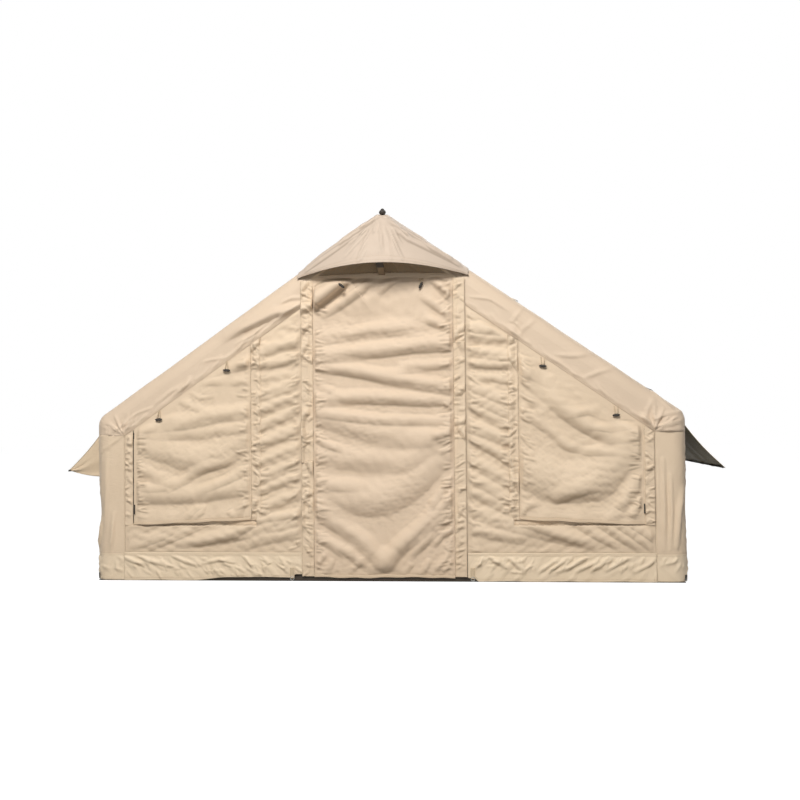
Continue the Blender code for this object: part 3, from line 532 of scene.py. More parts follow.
def foldShadeOf(relief, z):
    # painted shade for the colour: darker where the cloth faces down, away from the light from above, and in
    # the hollows of folds
    rise = np.maximum(np.abs(np.gradient(z, axis=0)), 1e-4)
    dz = np.gradient(relief, axis=0) / rise
    hollow = np.gradient(dz, axis=0) / rise
    return np.clip(hollow * 0.016 + np.clip(dz, 0, 1.2) * 0.75, 0, 1)


# Lofted shapes; stitches and zip teeth follow paths with Geometry Nodes
def loft(rings, closed=False):
    # faces from ring to ring, with a cap at each end of an open shape
    bm = bmesh.new()
    verts = [[bm.verts.new(p) for p in ring] for ring in rings]
    for a, b in list(zip(verts, verts[1:])) + ([(verts[-1], verts[0])] if closed else []):
        for step in range(len(a)):
            after = (step + 1) % len(a)
            bm.faces.new((a[step], a[after], b[after], b[step]))
    if not closed:
        bm.faces.new(verts[0][::-1])
        bm.faces.new(verts[-1])
    bmesh.ops.recalc_face_normals(bm, faces=bm.faces)
    return bm


def fullTurn(sides):
    return [2 * math.pi * step / sides for step in range(sides)]


def capsuleMesh(name, radius, length, sides):
    mesh = bpy.data.meshes.new(name)
    shares = ((-0.5, 0.35), (-0.36, 1.0), (0.36, 1.0), (0.5, 0.35))  # of the length and the radius
    bm = loft([[(length * place, radius * size * math.cos(t), radius * size * math.sin(t))
                for t in fullTurn(sides)] for place, size in shares])
    bm.to_mesh(mesh)
    bm.free()
    return mesh


def repeatTree(name):
    # instances of one shape along every path, made real, with one material
    tree = bpy.data.node_groups.new(name, "GeometryNodeTree")
    face, make = tree.interface, tree.nodes.new
    for way in ("OUTPUT", "INPUT"):
        face.new_socket("Geometry", in_out=way, socket_type="NodeSocketGeometry")
    kinds = {"Spacing": "Float", "Size": "Float", "Wobble": "Float", "Seed": "Int", "Shape": "Object",
             "Finish": "Material"}
    keys = {key: face.new_socket(key, in_out="INPUT", socket_type="NodeSocket" + kind).identifier
            for key, kind in kinds.items()}
    entry, leave = make("NodeGroupInput"), make("NodeGroupOutput")
    sample, align = make("GeometryNodeResampleCurve"), make("FunctionNodeAlignRotationToVector")
    tangent, info = make("GeometryNodeInputTangent"), make("GeometryNodeObjectInfo")
    place, real = make("GeometryNodeInstanceOnPoints"), make("GeometryNodeRealizeInstances")
    paint, chance = make("GeometryNodeSetMaterial"), make("FunctionNodeRandomValue")
    low, high = make("ShaderNodeMath"), make("ShaderNodeMath")
    sample.mode, align.axis, chance.data_type = "LENGTH", "X", "FLOAT"
    low.operation, high.operation = "SUBTRACT", "ADD"
    for source, output, target, socket in (
            (entry, "Geometry", sample, "Curve"), (entry, "Spacing", sample, "Length"),
            (sample, 0, place, "Points"), (entry, "Shape", info, "Object"),
            (info, "Geometry", place, "Instance"), (tangent, 0, align, "Vector"),
            (align, 0, place, "Rotation"), (entry, "Size", low, 0), (entry, "Wobble", low, 1),
            (entry, "Size", high, 0), (entry, "Wobble", high, 1), (low, 0, chance, 2), (high, 0, chance, 3),
            (entry, "Seed", chance, "Seed"), (chance, 1, place, "Scale"), (place, 0, real, 0),
            (real, 0, paint, "Geometry"), (entry, "Finish", paint, "Material"), (paint, 0, leave, 0)):
        tree.links.new(source.outputs[output], target.inputs[socket])
    return tree, keys


repeatNodes, repeatKeys = repeatTree("run_along_path")
stitchLooks = {"spacing": 0.0085, "length": 0.0058, "radius": 0.0007, "proud": 0.0008}
toothLooks = {"spacing": 0.0042, "length": 0.0026, "radius": 0.0012}


def runAlong(name, paths, shape, spacing, finish, seed=3, wobble=0.06):
    line = bpy.data.curves.new(name + "_line", "CURVE")
    line.dimensions = "3D"
    for path in paths:
        spline = line.splines.new("POLY")
        spline.points.add(len(path) - 1)
        flat = np.concatenate([np.asarray(path, float), np.ones((len(path), 1))], 1)
        spline.points.foreach_set("co", flat.ravel())
    guide, holder = placed(name + "_line", line), placed(name + "_shape", shape)
    run = guide.modifiers.new("Run", "NODES")
    run.node_group = repeatNodes
    for key, value in {"Spacing": spacing, "Size": 1.0, "Wobble": wobble, "Seed": seed, "Shape": holder,
                       "Finish": finish}.items():
        run[repeatKeys[key]] = value
    bpy.context.view_layer.update()
    mesh = bpy.data.meshes.new_from_object(guide.evaluated_get(bpy.context.evaluated_depsgraph_get()))
    mesh.name = name
    bpy.data.objects.remove(guide)
    bpy.data.objects.remove(holder)
    if not mesh.materials:
        mesh.materials.append(finish)
    return placed(name, mesh)


stitchShape = capsuleMesh("stitch", stitchLooks["radius"], stitchLooks["length"], sides=5)
toothShape = capsuleMesh("tooth", toothLooks["radius"], toothLooks["length"], sides=4)


def settle(piece, body, slotName, *stoodFor):
    # the CAD node that a piece stands for, the body that it rides on, and its slot, which is not used
    if stoodFor:
        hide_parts(*stoodFor)
    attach(piece, body)


def stitches(name, paths, body="tent", ahead=0.0):
    paths = [np.asarray(path) + (0, -ahead, 0) for path in paths]
    line = runAlong(name, paths, stitchShape, stitchLooks["spacing"], threadFinish)
    if body:
        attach(line, body)
    return line


# Simple solid makers
def turned(name, profile, finish, sides, centre, matrix=None):
    # a shape turned round its Z axis: profile of (radius, height), closed at both ends
    bm = loft([[(r * math.cos(t), r * math.sin(t), h) for t in fullTurn(sides)] for r, h in profile])
    if matrix is not None:
        bm.transform(matrix)
    bmesh.ops.translate(bm, verts=bm.verts, vec=Vector(centre))
    return fromBmesh(name, bm, finish)


def fromBmesh(name, bm, finish, smoothFaces=True):
    mesh = bpy.data.meshes.new(name)
    bm.to_mesh(mesh)
    bm.free()
    mesh.polygons.foreach_set("use_smooth", np.full(len(mesh.polygons), smoothFaces))
    mesh.materials.append(finish)
    return placed(name, mesh)


def unit(vectors):
    return vectors / np.linalg.norm(vectors, axis=-1, keepdims=True)


def tape(name, path, width, thickness, finish, across=(1, 0, 0), crown=0.0):
    # webbing along a path, with rounded edges; across is its width direction
    path = np.asarray(path, float)
    across = unit(np.asarray(across, float))
    out = unit(np.cross(unit(np.gradient(path, axis=0)), across))
    shape = [(-0.5, 0.0), (-0.46, 0.42), (-0.3, 0.5), (0.0, 0.5 + crown), (0.3, 0.5), (0.46, 0.42),
             (0.5, 0.0), (0.46, -0.42), (0.3, -0.5), (0.0, -0.5), (-0.3, -0.5), (-0.46, -0.42)]
    return fromBmesh(name, loft([[p + across * s * width + o * t * thickness for s, t in shape]
                                 for p, o in zip(path, out)]), finish)


def cordTube(name, path, radius, finish, sides=8, closed=False):
    # a round cord or ring along a path
    path = np.asarray(path, float)
    along = unit(np.roll(path, -1, 0) - np.roll(path, 1, 0) if closed else np.gradient(path, axis=0))
    guide = (0.0, 1.0, 0.0) if np.abs(along[:, 1]).max() < 0.9 else (0.3, 0.2, 0.93)
    first = unit(np.cross(along, guide))
    second = np.cross(along, first)
    rings = [[p + radius * (math.cos(t) * a + math.sin(t) * b) for t in fullTurn(sides)]
             for p, a, b in zip(path, first, second)]
    return fromBmesh(name, loft(rings, closed), finish)


def joined(name, pieces):
    # one mesh from several, each with its materials
    bpy.ops.object.select_all(action="DESELECT")
    for piece in pieces:
        piece.select_set(True)
    bpy.context.view_layer.objects.active = pieces[0]
    bpy.ops.object.join()
    pieces[0].name = name
    pieces[0].data.name = name
    return pieces[0]


# Camera, lamps and floor
cameraLooks = {"place": (0.7592, -8.4, 1.05), "pan": 5.265, "tilt": 1.340, "roll": -0.521, "lens": 47.15}
camera = placed("camera", bpy.data.cameras.new("camera"))
camera.data.lens = cameraLooks["lens"]
camera.data.sensor_width = 36.0
camera.matrix_world = (Matrix.Translation(cameraLooks["place"])
                       @ Matrix.Rotation(math.radians(cameraLooks["pan"]), 4, "Z")
                       @ Matrix.Rotation(math.radians(90 + cameraLooks["tilt"]), 4, "X")
                       @ Matrix.Rotation(math.radians(cameraLooks["roll"]), 4, "Z"))
bpy.context.scene.camera = camera
bpy.context.scene.view_settings.view_transform = "Standard"

lampLooks = {"key": ((-0.6, -8.0, 7.3), 2.5, 785.0, (1.0, 0.98, 0.95)),
             "front": ((3.0, -11.0, 2.6), 6.0, 70.0, (1.0, 0.98, 0.96)),
             "back": ((3.0, 9.0, 6.5), 6.0, 420.0, (0.97, 0.98, 1.0))}
for title, (place, size, power, colour) in lampLooks.items():
    light = bpy.data.lights.new(title, "AREA")
    light.energy = power
    light.size = size
    light.color = colour
    lamp = placed(title, light)
    lamp.location = place
    lamp.rotation_mode = "QUATERNION"
    lamp.rotation_quaternion = (Vector((0, 0, 0.9)) - Vector(place)).to_track_quat("-Z", "Y")

worldLooks = {"low": 0.09, "high": 0.21}
world = bpy.data.worlds.new("studio")
bpy.context.scene.world = world
world.use_nodes = True


def whereSeen(start):
    # 1 where the camera, gloss or glass looks, and 0 for the light on the object
    rays = start.tree.nodes.new("ShaderNodeLightPath")
    seen = Wire(start.tree, rays.outputs["Is Camera Ray"])
    for kind in ("Is Glossy Ray", "Is Transmission Ray"):
        seen = start.maths("MAXIMUM", seen, Wire(start.tree, rays.outputs[kind]))
    return seen


def makeWorld():
    tree = world.node_tree
    start = Wire(tree, tree.nodes["Background"].outputs[0])
    strength = start.node("ShaderNodeTexCoord", output=0).parts()[2].spread(-0.1, 0.9, worldLooks["low"],
                                                                            worldLooks["high"])
    plain = start.node("ShaderNodeBackground", {}, {"Color": (0.97, 0.98, 1.0, 1.0), "Strength": strength})
    white = start.node("ShaderNodeBackground", {}, {"Color": (1.0, 1.0, 1.0, 1.0), "Strength": 1.0})
    both = start.node("ShaderNodeMixShader", {}, {0: whereSeen(start), 1: plain, 2: white})
    tree.links.new(both.socket, tree.nodes["World Output"].inputs[0])


floorLooks = {"size": 40.0, "low": -0.001, "glow": 0.90, "colours": ((0.32, 0.32, 0.32), (0.36, 0.36, 0.36))}


def makeFloor():
    bm = bmesh.new()
    bmesh.ops.create_grid(bm, x_segments=2, y_segments=2, size=floorLooks["size"])
    finish, shader, start, place = startFinish("pale_floor")
    shader.inputs["Roughness"].default_value = 0.9
    shader.inputs["Specular IOR Level"].default_value = 0.1
    feed(shader, {"Base Color": mixColour(place.noise(3.0, 3.0), *floorLooks["colours"])})
    glow = start.node("ShaderNodeEmission", {}, {0: (1.0, 1.0, 1.0, 1.0), 1: floorLooks["glow"]})
    bright = start.node("ShaderNodeAddShader", {}, {0: start, 1: glow})
    both = start.node("ShaderNodeMixShader", {}, {0: whereSeen(start), 1: start, 2: bright})
    start.tree.links.new(both.socket, start.tree.nodes["Material Output"].inputs[0])
    floor = fromBmesh("floor", bm, finish, False)
    floor.location.z = floorLooks["low"]


makeWorld()
makeFloor()
print("camera, lamps and floor")

# Front walls: folds of the cloth between the door and the windows, and under the flaps
wallLooks = {"inner": 0.531, "grid": 0.0062, "edge": 0.07, "waveDepth": 0.0016, "bottom": 0.176}
leftWallFolds = handFolds([
    (36, 17, 1, 0.6, -50, 180, -70, 176.5, -93, 169),
    (30, 14, 1, 0.7, -50, 158.5, -66, 155, -95, 147.5),
    (26, 12, 1, 0.6, -52, 147, -68, 144.5, -95, 140),
    (18, 6, 0.6, 0.4, -54, 138, -86, 133.5),
    (28, 13, 0.9, 0.8, -52, 130.5, -68, 126, -95, 117),
    (30, 14, 1, 0.8, -52, 120.5, -68, 116.5, -98, 105),
    (26, 12, 0.9, 0.7, -52, 113.5, -68, 106.5, -90, 97.5),
    (30, 14, 0.9, 0.9, -52, 98.5, -68, 93.5, -92, 84),
    (28, 13, 0.9, 0.9, -52, 87.5, -66, 82.5, -92, 72),
    (28, 13, 0.9, 0.8, -52, 78.5, -66, 72.5, -90, 61.5),
    (26, 12, 0.9, 0.8, -52, 67.5, -66, 63.5, -90, 54.5),
    (28, 12, 0.9, 0.9, -52, 55.5, -66, 51, -90, 40.5),
    (20, 8, 0.7, 0.4, -54, 44, -70, 41, -84, 39),
    (34, 13, 0.8, 0.4, -54, 37.5, -80, 32, -105, 25.5, -124, 22.5),
    (30, 11, 0.8, 0.3, -54, 29, -74, 25.5, -98, 20),
    (22, 8, 0.2, 0.8, -170, 20.5, -150, 28, -134, 38.5),
    (20, 8, 0.2, 0.8, -160, 20, -140, 28, -120, 37),
    (24, 11, 0.3, 0.8, -142, 21, -120, 24, -100, 29, -85, 38),
])
rightWallFolds = handFolds([
    (20, 9, 0.9, 0.4, 54.5, 194, 68, 195.5, 76, 193),
    (18, 8, 0.9, 0.3, 54.5, 186, 62, 188.5, 72, 187, 80, 182),
    (26, 11, 1, 0.4, 54.5, 176.5, 68, 174.5, 80, 173.5),
    (30, 14, 1, 0.7, 54.5, 165.5, 70, 164.5, 86, 162.5),
    (28, 12, 1, 0.8, 54.5, 159.5, 70, 158, 86, 156.5),
    (28, 13, 1, 0.8, 54.5, 149.5, 70, 148, 92, 144.5),
    (26, 12, 1, 0.7, 54.5, 141.5, 70, 140.5, 92, 139.5),
    (20, 8, 0.8, 0.5, 54.5, 134.5, 66, 133, 86, 130),
    (26, 13, 1, 0.8, 54.5, 128.5, 68, 122.5, 84, 115),
    (26, 13, 1, 0.8, 54.5, 121.5, 68, 115, 84, 107),
    (28, 13, 1, 0.8, 54.5, 113.5, 68, 106.5, 88, 96.5),
    (30, 14, 1, 0.9, 54.5, 100, 68, 95, 88, 86.5),
    (28, 13, 1, 0.9, 54.5, 92, 68, 85.5, 88, 73.5),
    (30, 13, 0.9, 0.9, 54.5, 77.5, 68, 70, 86, 59),
    (28, 13, 0.9, 0.8, 54.5, 66, 68, 60, 84, 50),
    (28, 12, 0.9, 0.7, 54.5, 57, 68, 51, 84, 43.5),
    (34, 12, 0.6, 0.5, 56, 42, 80, 34.5, 110, 26.5, 132, 21.5),
    (30, 10, 0.6, 0.3, 56, 31, 78, 26.5, 100, 23),
    (26, 10, 0.5, 0.4, 90, 37.5, 112, 29.5, 136, 21.5),
    (22, 10, 0.8, 0.4, 126, 36.5, 138, 29, 152, 21.5),
    (22, 11, 0.9, 0.4, 142, 36, 152, 29, 165, 20.5),
    (20, 11, 0.9, 0.4, 153, 36, 162, 30, 173, 21.5),
    (18, 9, 0.9, 0.4, 163, 35.5, 170, 31, 178, 25),
])
wallFolds = {
    "left": leftWallFolds + puckers(11, -0.556, 0.20, 1.85, -1, 60, rise=-0.25)
    + puckers(12, -0.835, 0.45, 1.60, 1, 40, reach=(0.03, 0.07), rise=0.2),
    "right": rightWallFolds + puckers(13, 0.556, 0.20, 1.85, 1, 60, rise=-0.25)
    + puckers(14, 0.835, 0.45, 1.55, -1, 40, reach=(0.03, 0.07), rise=0.2),
}


def wallRelief(sideName, x, z):
    relief = foldField(wallFolds[sideName], x, z, boost=0.95 if sideName == "left" else 1.15, level=0.20)
    relief = relief + wallLooks["waveDepth"] * waves(x, z, 21 if sideName == "left" else 22, 0.06, fan=0.45)
    relief = relief + crinkled(x, z, 23)
    return np.maximum(relief + 0.001, 0.0)


def makeFrontWalls():
    for sideName, side in sideNames:
        inner, outer = wallLooks["inner"], cornerSeam
        xs = edgedSteps(inner, outer, wallLooks["edge"], 0.0045, 0.0075)
        x, share = spanRows(facing(xs, side), int(1.63 / wallLooks["grid"]))
        top = seamHeight(x) + 0.012
        z = wallLooks["bottom"] + (top - wallLooks["bottom"]) * share
        relief = wallRelief(sideName, x, z)
        sewn = smooth((top - 0.010 - z) / 0.05)
        sewn *= smooth((z - skirtTop) / 0.03) * 0.8 + 0.2
        sewn *= smooth((cornerSeam - np.abs(x)) / 0.04)
        window = (np.abs(x) > windowInner + 0.016) & (np.abs(x) < windowOuter - 0.016) & (z > 0.43)
        window &= z < seamHeight(x) - 0.035
        sewn *= smooth((np.abs(x) - 0.552) / 0.045)
        framed = (np.abs(x) > windowInner - 0.01) & (z > 0.375)
        relief = relief * np.where(framed, 0.0, sewn)
        points = np.stack([x, frontY + 0.0008 - relief, z], -1)
        hole = wholeCells(window)
        wall = clothGrid(f"frontWall_{sideName}", points, (wallCloth, innerCloth), keep=~hole,
                         crease=foldShadeOf(relief, z))
        settle(wall, "tent", "wall_cloth", f"front_wall_{sideName}")
        area = (outer - inner) * (seamHeight(np.array((inner + outer) / 2)) - wallLooks["bottom"]) - 0.62
        # the net in the window, with its hem on the wall's inside
        xs = np.linspace(windowInner - 0.002, windowOuter - 0.008, 40)
        x2, share = spanRows(facing(xs, side), 30)
        z2 = 0.41 + (seamHeight(x2) - 0.015 - 0.41) * share
        y2 = frontY + 0.0095 + 0.004 * waves(x2, z2, 31, 0.5) * np.sin(np.pi * share) ** 0.5
        net = clothGrid(f"windowNet_{sideName}", np.stack([x2, y2, z2], -1), (netCloth,), thickness=0.0)
        settle(net, "tent", "net", f"window_net_{sideName}")


makeFrontWalls()
print("front walls")

# Window flaps: sewn under the band, loose at the hem
windowToggles = {"high": 1.0666, "low": 1.5414}
flapLooks = {"inner": 0.905, "outer": 1.7225, "grid": 0.0056, "stand": 0.0052, "hemRise": 0.022}
flapFolds = {
    "left": handFolds([
        (30, 14, 1, 0.4, -90.5, 143, -110, 140, -128, 136.5),
        (22, 7, 0.8, 0.4, -90.5, 131.5, -110, 132, -130, 133),
        (14, 4, 0.4, 0.4, -138, 130, -126, 122.5, -115, 124),
        (18, 5, 0.5, 0.2, -145, 122, -133, 116, -120, 113),
        (34, 15, 0.9, 0.9, -171.5, 100.5, -155, 101, -135, 102.5, -110, 107.5, -91, 109),
        (30, 10, 0.7, 0.7, -171.5, 97.5, -150, 95.5, -125, 95.5, -100, 99.5, -91, 100),
        (60, 18, 0.8, 0.7, -171.5, 87, -158, 80, -140, 73.5, -122, 72, -105, 77.5, -91, 86),
        (30, 10, 0.8, 0.3, -171.5, 72, -158, 66.5, -142, 62),
        (22, 9, 0.5, 0.6, -146, 60, -134, 66, -120, 73, -105, 77),
        (22, 8, 0.4, 0.8, -120, 60, -105, 66, -91, 72),
        (38, 14, 0.9, 0.7, -171.5, 52.5, -150, 51.5, -130, 52, -110, 55, -92, 57.5),
        (24, 7, 0.6, 0.3, -171.5, 61, -160, 60, -146, 61),
        (16, 6, 0.8, 0.2, -126, 42, -122, 46, -120, 52),
        (16, 6, 0.8, 0.2, -132, 41.5, -130, 45, -124, 50),
        (18, 7, 0.8, 0.2, -96, 42, -95, 47, -92, 55),
        (14, 5, 0.6, 0.2, -105, 42, -108, 47),
    ]) + puckers(41, -0.905, 0.45, 1.5, -1, 40, rise=0.1) + puckers(42, -1.72, 0.42, 0.98, 1, 34, rise=0.1),
    "right": handFolds([
        (30, 11, 0.8, 0.2, 91, 136.5, 100, 133, 112, 127),
        (40, 14, 0.9, 0.8, 91, 131, 105, 120.5, 115, 110, 125, 102, 138, 93.5, 150, 90.5, 162, 91.5,
         171.5, 93.5),
        (30, 9, 0.7, 0.2, 91, 109, 102, 101, 112, 93, 125, 80),
        (20, 6, 0.4, 0.3, 125, 108, 136, 110, 143, 108),
        (18, 6, 0.3, 0.5, 138, 100, 150, 98.5, 166, 101),
        (30, 8, 0.6, 0.2, 91, 122, 100, 114, 106, 105),
        (24, 7, 0.4, 0.4, 118, 87, 134, 83, 150, 83),
        (85, 26, 0.6, 0.9, 91.5, 60, 105, 54.5, 115, 50, 130, 50, 144, 52, 156, 60, 166, 72, 172, 80),
        (30, 13, 0.5, 0.7, 118, 52, 126, 55.5, 136, 58),
        (30, 12, 0.9, 0.4, 171.5, 63.5, 165.5, 54.5, 160, 45),
        (22, 8, 0.8, 0.3, 171.5, 50, 168, 45, 166, 41),
        (20, 6, 0.6, 0.2, 93, 42, 96, 47, 104, 50),
        (22, 8, 0.7, 0.3, 91, 144, 102, 143, 112, 140),
    ]) + puckers(43, 0.905, 0.45, 1.5, 1, 30, rise=-0.5) + puckers(44, 1.72, 0.42, 0.98, -1, 34, rise=0.1),
}
flapTurn = math.cos(pitch), math.sin(pitch)
flapDrop = 0.082  # hinge line under the seam, measured square to it


def flapRelief(sideName, x, z):
    relief = foldField(flapFolds[sideName], x, z, boost=1.0 if sideName == "left" else 1.25, level=0.36)
    relief = relief + crinkled(x, z, 53)
    return np.maximum(relief + 0.0010 * waves(x, z, 51 if sideName == "left" else 52, 0.07, fan=0.7), 0.0)


def flapGrid(sideName, side):
    inner, outer = flapLooks["inner"], flapLooks["outer"]
    xs = facing(edgedSteps(inner, outer, 0.05, 0.0045, 0.0075), side)
    x, share = spanRows(xs, int(1.16 / flapLooks["grid"]))
    low = 0.416 - 0.032 * (np.abs(x) - inner) / (outer - inner) + 0.002 * np.sin(np.abs(x) * 23)
    top = seamHeight(x) + 0.005
    z = low + (top - low) * share
    relief = flapRelief(sideName, x, z)
    fade = smooth((np.abs(x) - inner) / 0.035) * 0.9 + 0.1
    fade *= smooth((outer - np.abs(x) - 0.012) / 0.035)
    fade *= smooth((top - z) / 0.09)
    calm = smooth((z - low - 0.01) / 0.05) * 0.7 + 0.3
    for toggleX in windowToggles.values():  # the cloth lies calm behind a toggle
        away = ((np.abs(x) - toggleX) / 0.075) ** 2 + ((top - z - 0.13) / 0.12) ** 2
        fade = fade * (1 - 0.75 * np.exp(-away))
    relief = relief * fade * calm
    # the cloth hangs free above its hem, and the pull's edge stays flat
    hem = flapLooks["hemRise"] * (1 - smooth((z - low) / 0.13)) * smooth((outer - np.abs(x)) / 0.12)
    hem *= 0.35 + 0.65 * smooth((np.abs(x) - inner) / 0.25)
    hem *= 0.75 + 0.25 * np.sin(np.abs(x) * 31)
    y = frontY - flapLooks["stand"] - relief - hem
    top = smooth((z - (seamHeight(x) - flapDrop / flapTurn[0] - 0.01)) / 0.05)
    y = y + top * 0.0042  # sewn close under the band, behind the toggles
    return x, z, y, relief


def hingeBlend(piece, side):
    # bakes the piece's placement into its mesh; the centre of the hinge line is worked out but not used
    centre = Vector((side * 1.3, frontY, seamHeight(np.array(1.3)) - flapDrop / flapTurn[0]))
    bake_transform(piece)


flapPoints = {}


def makeFlaps():
    for sideName, side in sideNames:
        body = f"window_flap_{sideName}"
        x, z, y, relief = flapGrid(sideName, side)
        points = np.stack([x, y, z], -1)
        flap = clothGrid(f"windowFlap_{sideName}", points, (wallCloth, innerCloth), thickness=0.0018,
                         crease=foldShadeOf(relief, z))
        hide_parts(body)
        # hem tape along the bottom, and stitches round the edges
        proud = points + np.array([0, -0.0006, 0])
        row = int(round(flapLooks["hemRise"] / flapLooks["grid"]))
        edges = [proud[row], proud[row - 1], proud[4:-4, 2], proud[4:-4, -3]]
        sewing = stitches(f"flapStitches_{sideName}", edges, body=None)
        hem = tape(f"flapHem_{sideName}", proud[1], 0.017, 0.0034, hemCloth, across=(0, 0.05, 1))
        hemCut(hem)
        for piece in (flap, sewing, hem):
            hingeBlend(piece, side)
        flapPoints[sideName] = points


def hemCut(piece):
    # a hem's tape wears a cloth finish, which needs a flat cut
    places = np.zeros(len(piece.data.vertices) * 3, np.float32)
    piece.data.vertices.foreach_get("co", places)
    x, y, z = places.reshape(-1, 3).T
    addCut(piece.data, np.stack([x + y, z], -1))


makeFlaps()
print("window flaps")

# Gathered strips over the zips
stripLooks = {"fine": 0.0036, "ruffle": 0.0045}


def stripFolds(seed, side, inner, outer, low, high, count, lean):
    # many short slanted creases, as on cloth that is gathered along a zip
    width = outer - inner

    def draw(rng):
        z = rng.uniform(low, high)
        start = inner + rng.uniform(-0.1, 0.5) * width
        end = start + rng.uniform(0.35, 0.9) * width
        climb = (lean + rng.normal(0, 0.5)) * (end - start)
        path = [(side * start, z), (side * (start + end) / 2, z + climb * 0.5), (side * end, z + climb)]
        return rng.uniform(0.007, 0.016), rng.uniform(0.0015, stripLooks["ruffle"]), 0.3, 0.3, path

    return scattered(seed, count, draw)


def makeStrip(name, side, inner, outer, low, topOf, folds, base, node, hold):
    # base says how far the strip stands off the wall; hold lists the columns that are sewn
    xs = facing(steps(inner, outer, stripLooks["fine"] * 1.1), side)
    height = float(np.max(topOf(xs))) - low
    x, share = spanRows(xs, int(height / stripLooks["fine"]))
    z = low + (topOf(x) - low) * share
    relief = foldField(folds, x, z)
    edge = smooth((np.abs(x) - inner) / 0.008) * smooth((outer - np.abs(x)) / 0.008)
    relief = np.maximum(relief, 0) * (0.35 + 0.65 * edge)
    points = np.stack([x, frontY - base(x, z) - relief, z], -1)
    strip = clothGrid(name, points, (wallCloth, innerCloth), thickness=0.0014,
                      crease=foldShadeOf(relief, z) * 0.8)
    settle(strip, "tent", "wall_cloth", node)
    sewing = stitches(name + "_stitches", [points[2:-2, column] for column in hold], ahead=0.0006)


def underBand(x):
    return seamHeight(x) - 0.004


def makeWindowStrips():
    for sideName, side in sideNames:
        inner, outer = 0.835, 0.9045
        seeds = 61 if side < 0 else 71
        folds = stripFolds(seeds, side, inner, outer, 0.42, 1.64, 70, 0.4)
        if side < 0:
            folds += handFolds([(18, 10, 0.9, 0.9, -90, 154.5, -83, 160),
                                (16, 9, 0.9, 0.9, -90.5, 43, -85, 53),
                                (16, 8, 0.9, 0.9, -90, 142, -85, 148)])
        else:
            folds += handFolds([(16, 10, 0.9, 0.9, 83.5, 69, 87, 64, 90.5, 57),
                                (16, 8, 0.9, 0.9, 84, 147, 88.5, 141)])

        def under(x, z, sideName=sideName):
            near = wallRelief(sideName, x, z) * (1 - smooth((np.abs(x) - 0.835) / 0.06)) * 0.9
            crisp = 0.004 * smooth((np.abs(x) - 0.888) / 0.004) if sideName == "right" else 0.0
            return 0.002 + 0.003 * smooth((np.abs(x) - 0.838) / 0.02) + near * (np.abs(x) < 0.9) + crisp

        makeStrip(f"zipStripInner_{sideName}", side, inner, outer, 0.412, underBand, folds, under,
                  f"window_zip_cover_inner_{sideName}", (1, -2))
        inner, outer = (1.7285, 1.786) if side < 0 else (1.7205, 1.786)
        folds = stripFolds(seeds + 3, side, inner, outer, 0.38, 0.98, 34, 0.2)
        makeStrip(f"zipStripOuter_{sideName}", side, inner, outer, 0.375, underBand, folds,
                  lambda x, z: 0.0035 + 0.0035 * (x > 0), f"window_zip_cover_outer_{sideName}", (1, -2))


def makeDoorStrips():
    leftCreases = handFolds([
        (16, 10, 0.8, 0.8, -50, 170, -53.5, 166.5, -55.5, 160),
        (16, 10, 0.8, 0.8, -55.5, 146, -53, 153, -50, 158.5),
        (18, 12, 0.9, 0.9, -50, 112, -52.5, 108, -53, 104, -51.5, 100),
        (16, 10, 0.9, 0.9, -53, 102, -51, 95, -53, 88, -53.5, 80, -51, 74),
        (16, 10, 0.9, 0.9, -50, 56.5, -53, 54, -53.5, 48, -53, 38),
        (22, 14, 1, 1, -56, 179.5, -47.5, 182),
        (14, 8, 0.9, 0.9, -50.5, 199, -54, 194, -55, 188),
    ])
    rightCreases = handFolds([
        (16, 8, 0.8, 0.8, 55, 166.5, 52, 165.5, 49, 160, 51, 156),
        (14, 8, 0.8, 0.8, 50, 123.5, 53, 124, 55, 126.5),
        (14, 8, 0.8, 0.8, 50, 104, 53, 104.5, 55, 105.5),
        (14, 8, 0.8, 0.8, 50, 100.5, 52, 97, 54.5, 94),
    ])
    for sideName, side in sideNames:
        inner, outer = (0.4742, 0.5565) if side < 0 else (0.4742, 0.5545)
        seed, count = (81, 110) if side < 0 else (91, 80)
        folds = stripFolds(seed, side, inner, outer, 0.05, 2.02, count, 0.3)
        folds += leftCreases if side < 0 else rightCreases

        def under(x, z, inner=inner, outer=outer):
            # lifts from its sewn outer edge to clear the slider, down onto the flap's edge
            free = (outer - np.abs(x)) / (outer - inner)
            lift = 0.0125 if x.max() > 0 else 0.008
            crisp = 0.0035 * smooth((np.abs(x) - 0.4975) / 0.004)
            fall = (lift * 0.8 - 0.0058) * smooth((free - 0.62) / 0.38)
            return lift * (1 - smooth(free / 0.5) * 0.2) - fall + crisp

        makeStrip(f"doorStrip_{sideName}", side, inner, outer, 0.034, lambda x: 2.028 + 0 * x, folds, under,
                  f"door_zip_cover_{sideName}", (-2, 1) if side > 0 else (1, -2))


makeWindowStrips()
makeDoorStrips()
print("zip strips")

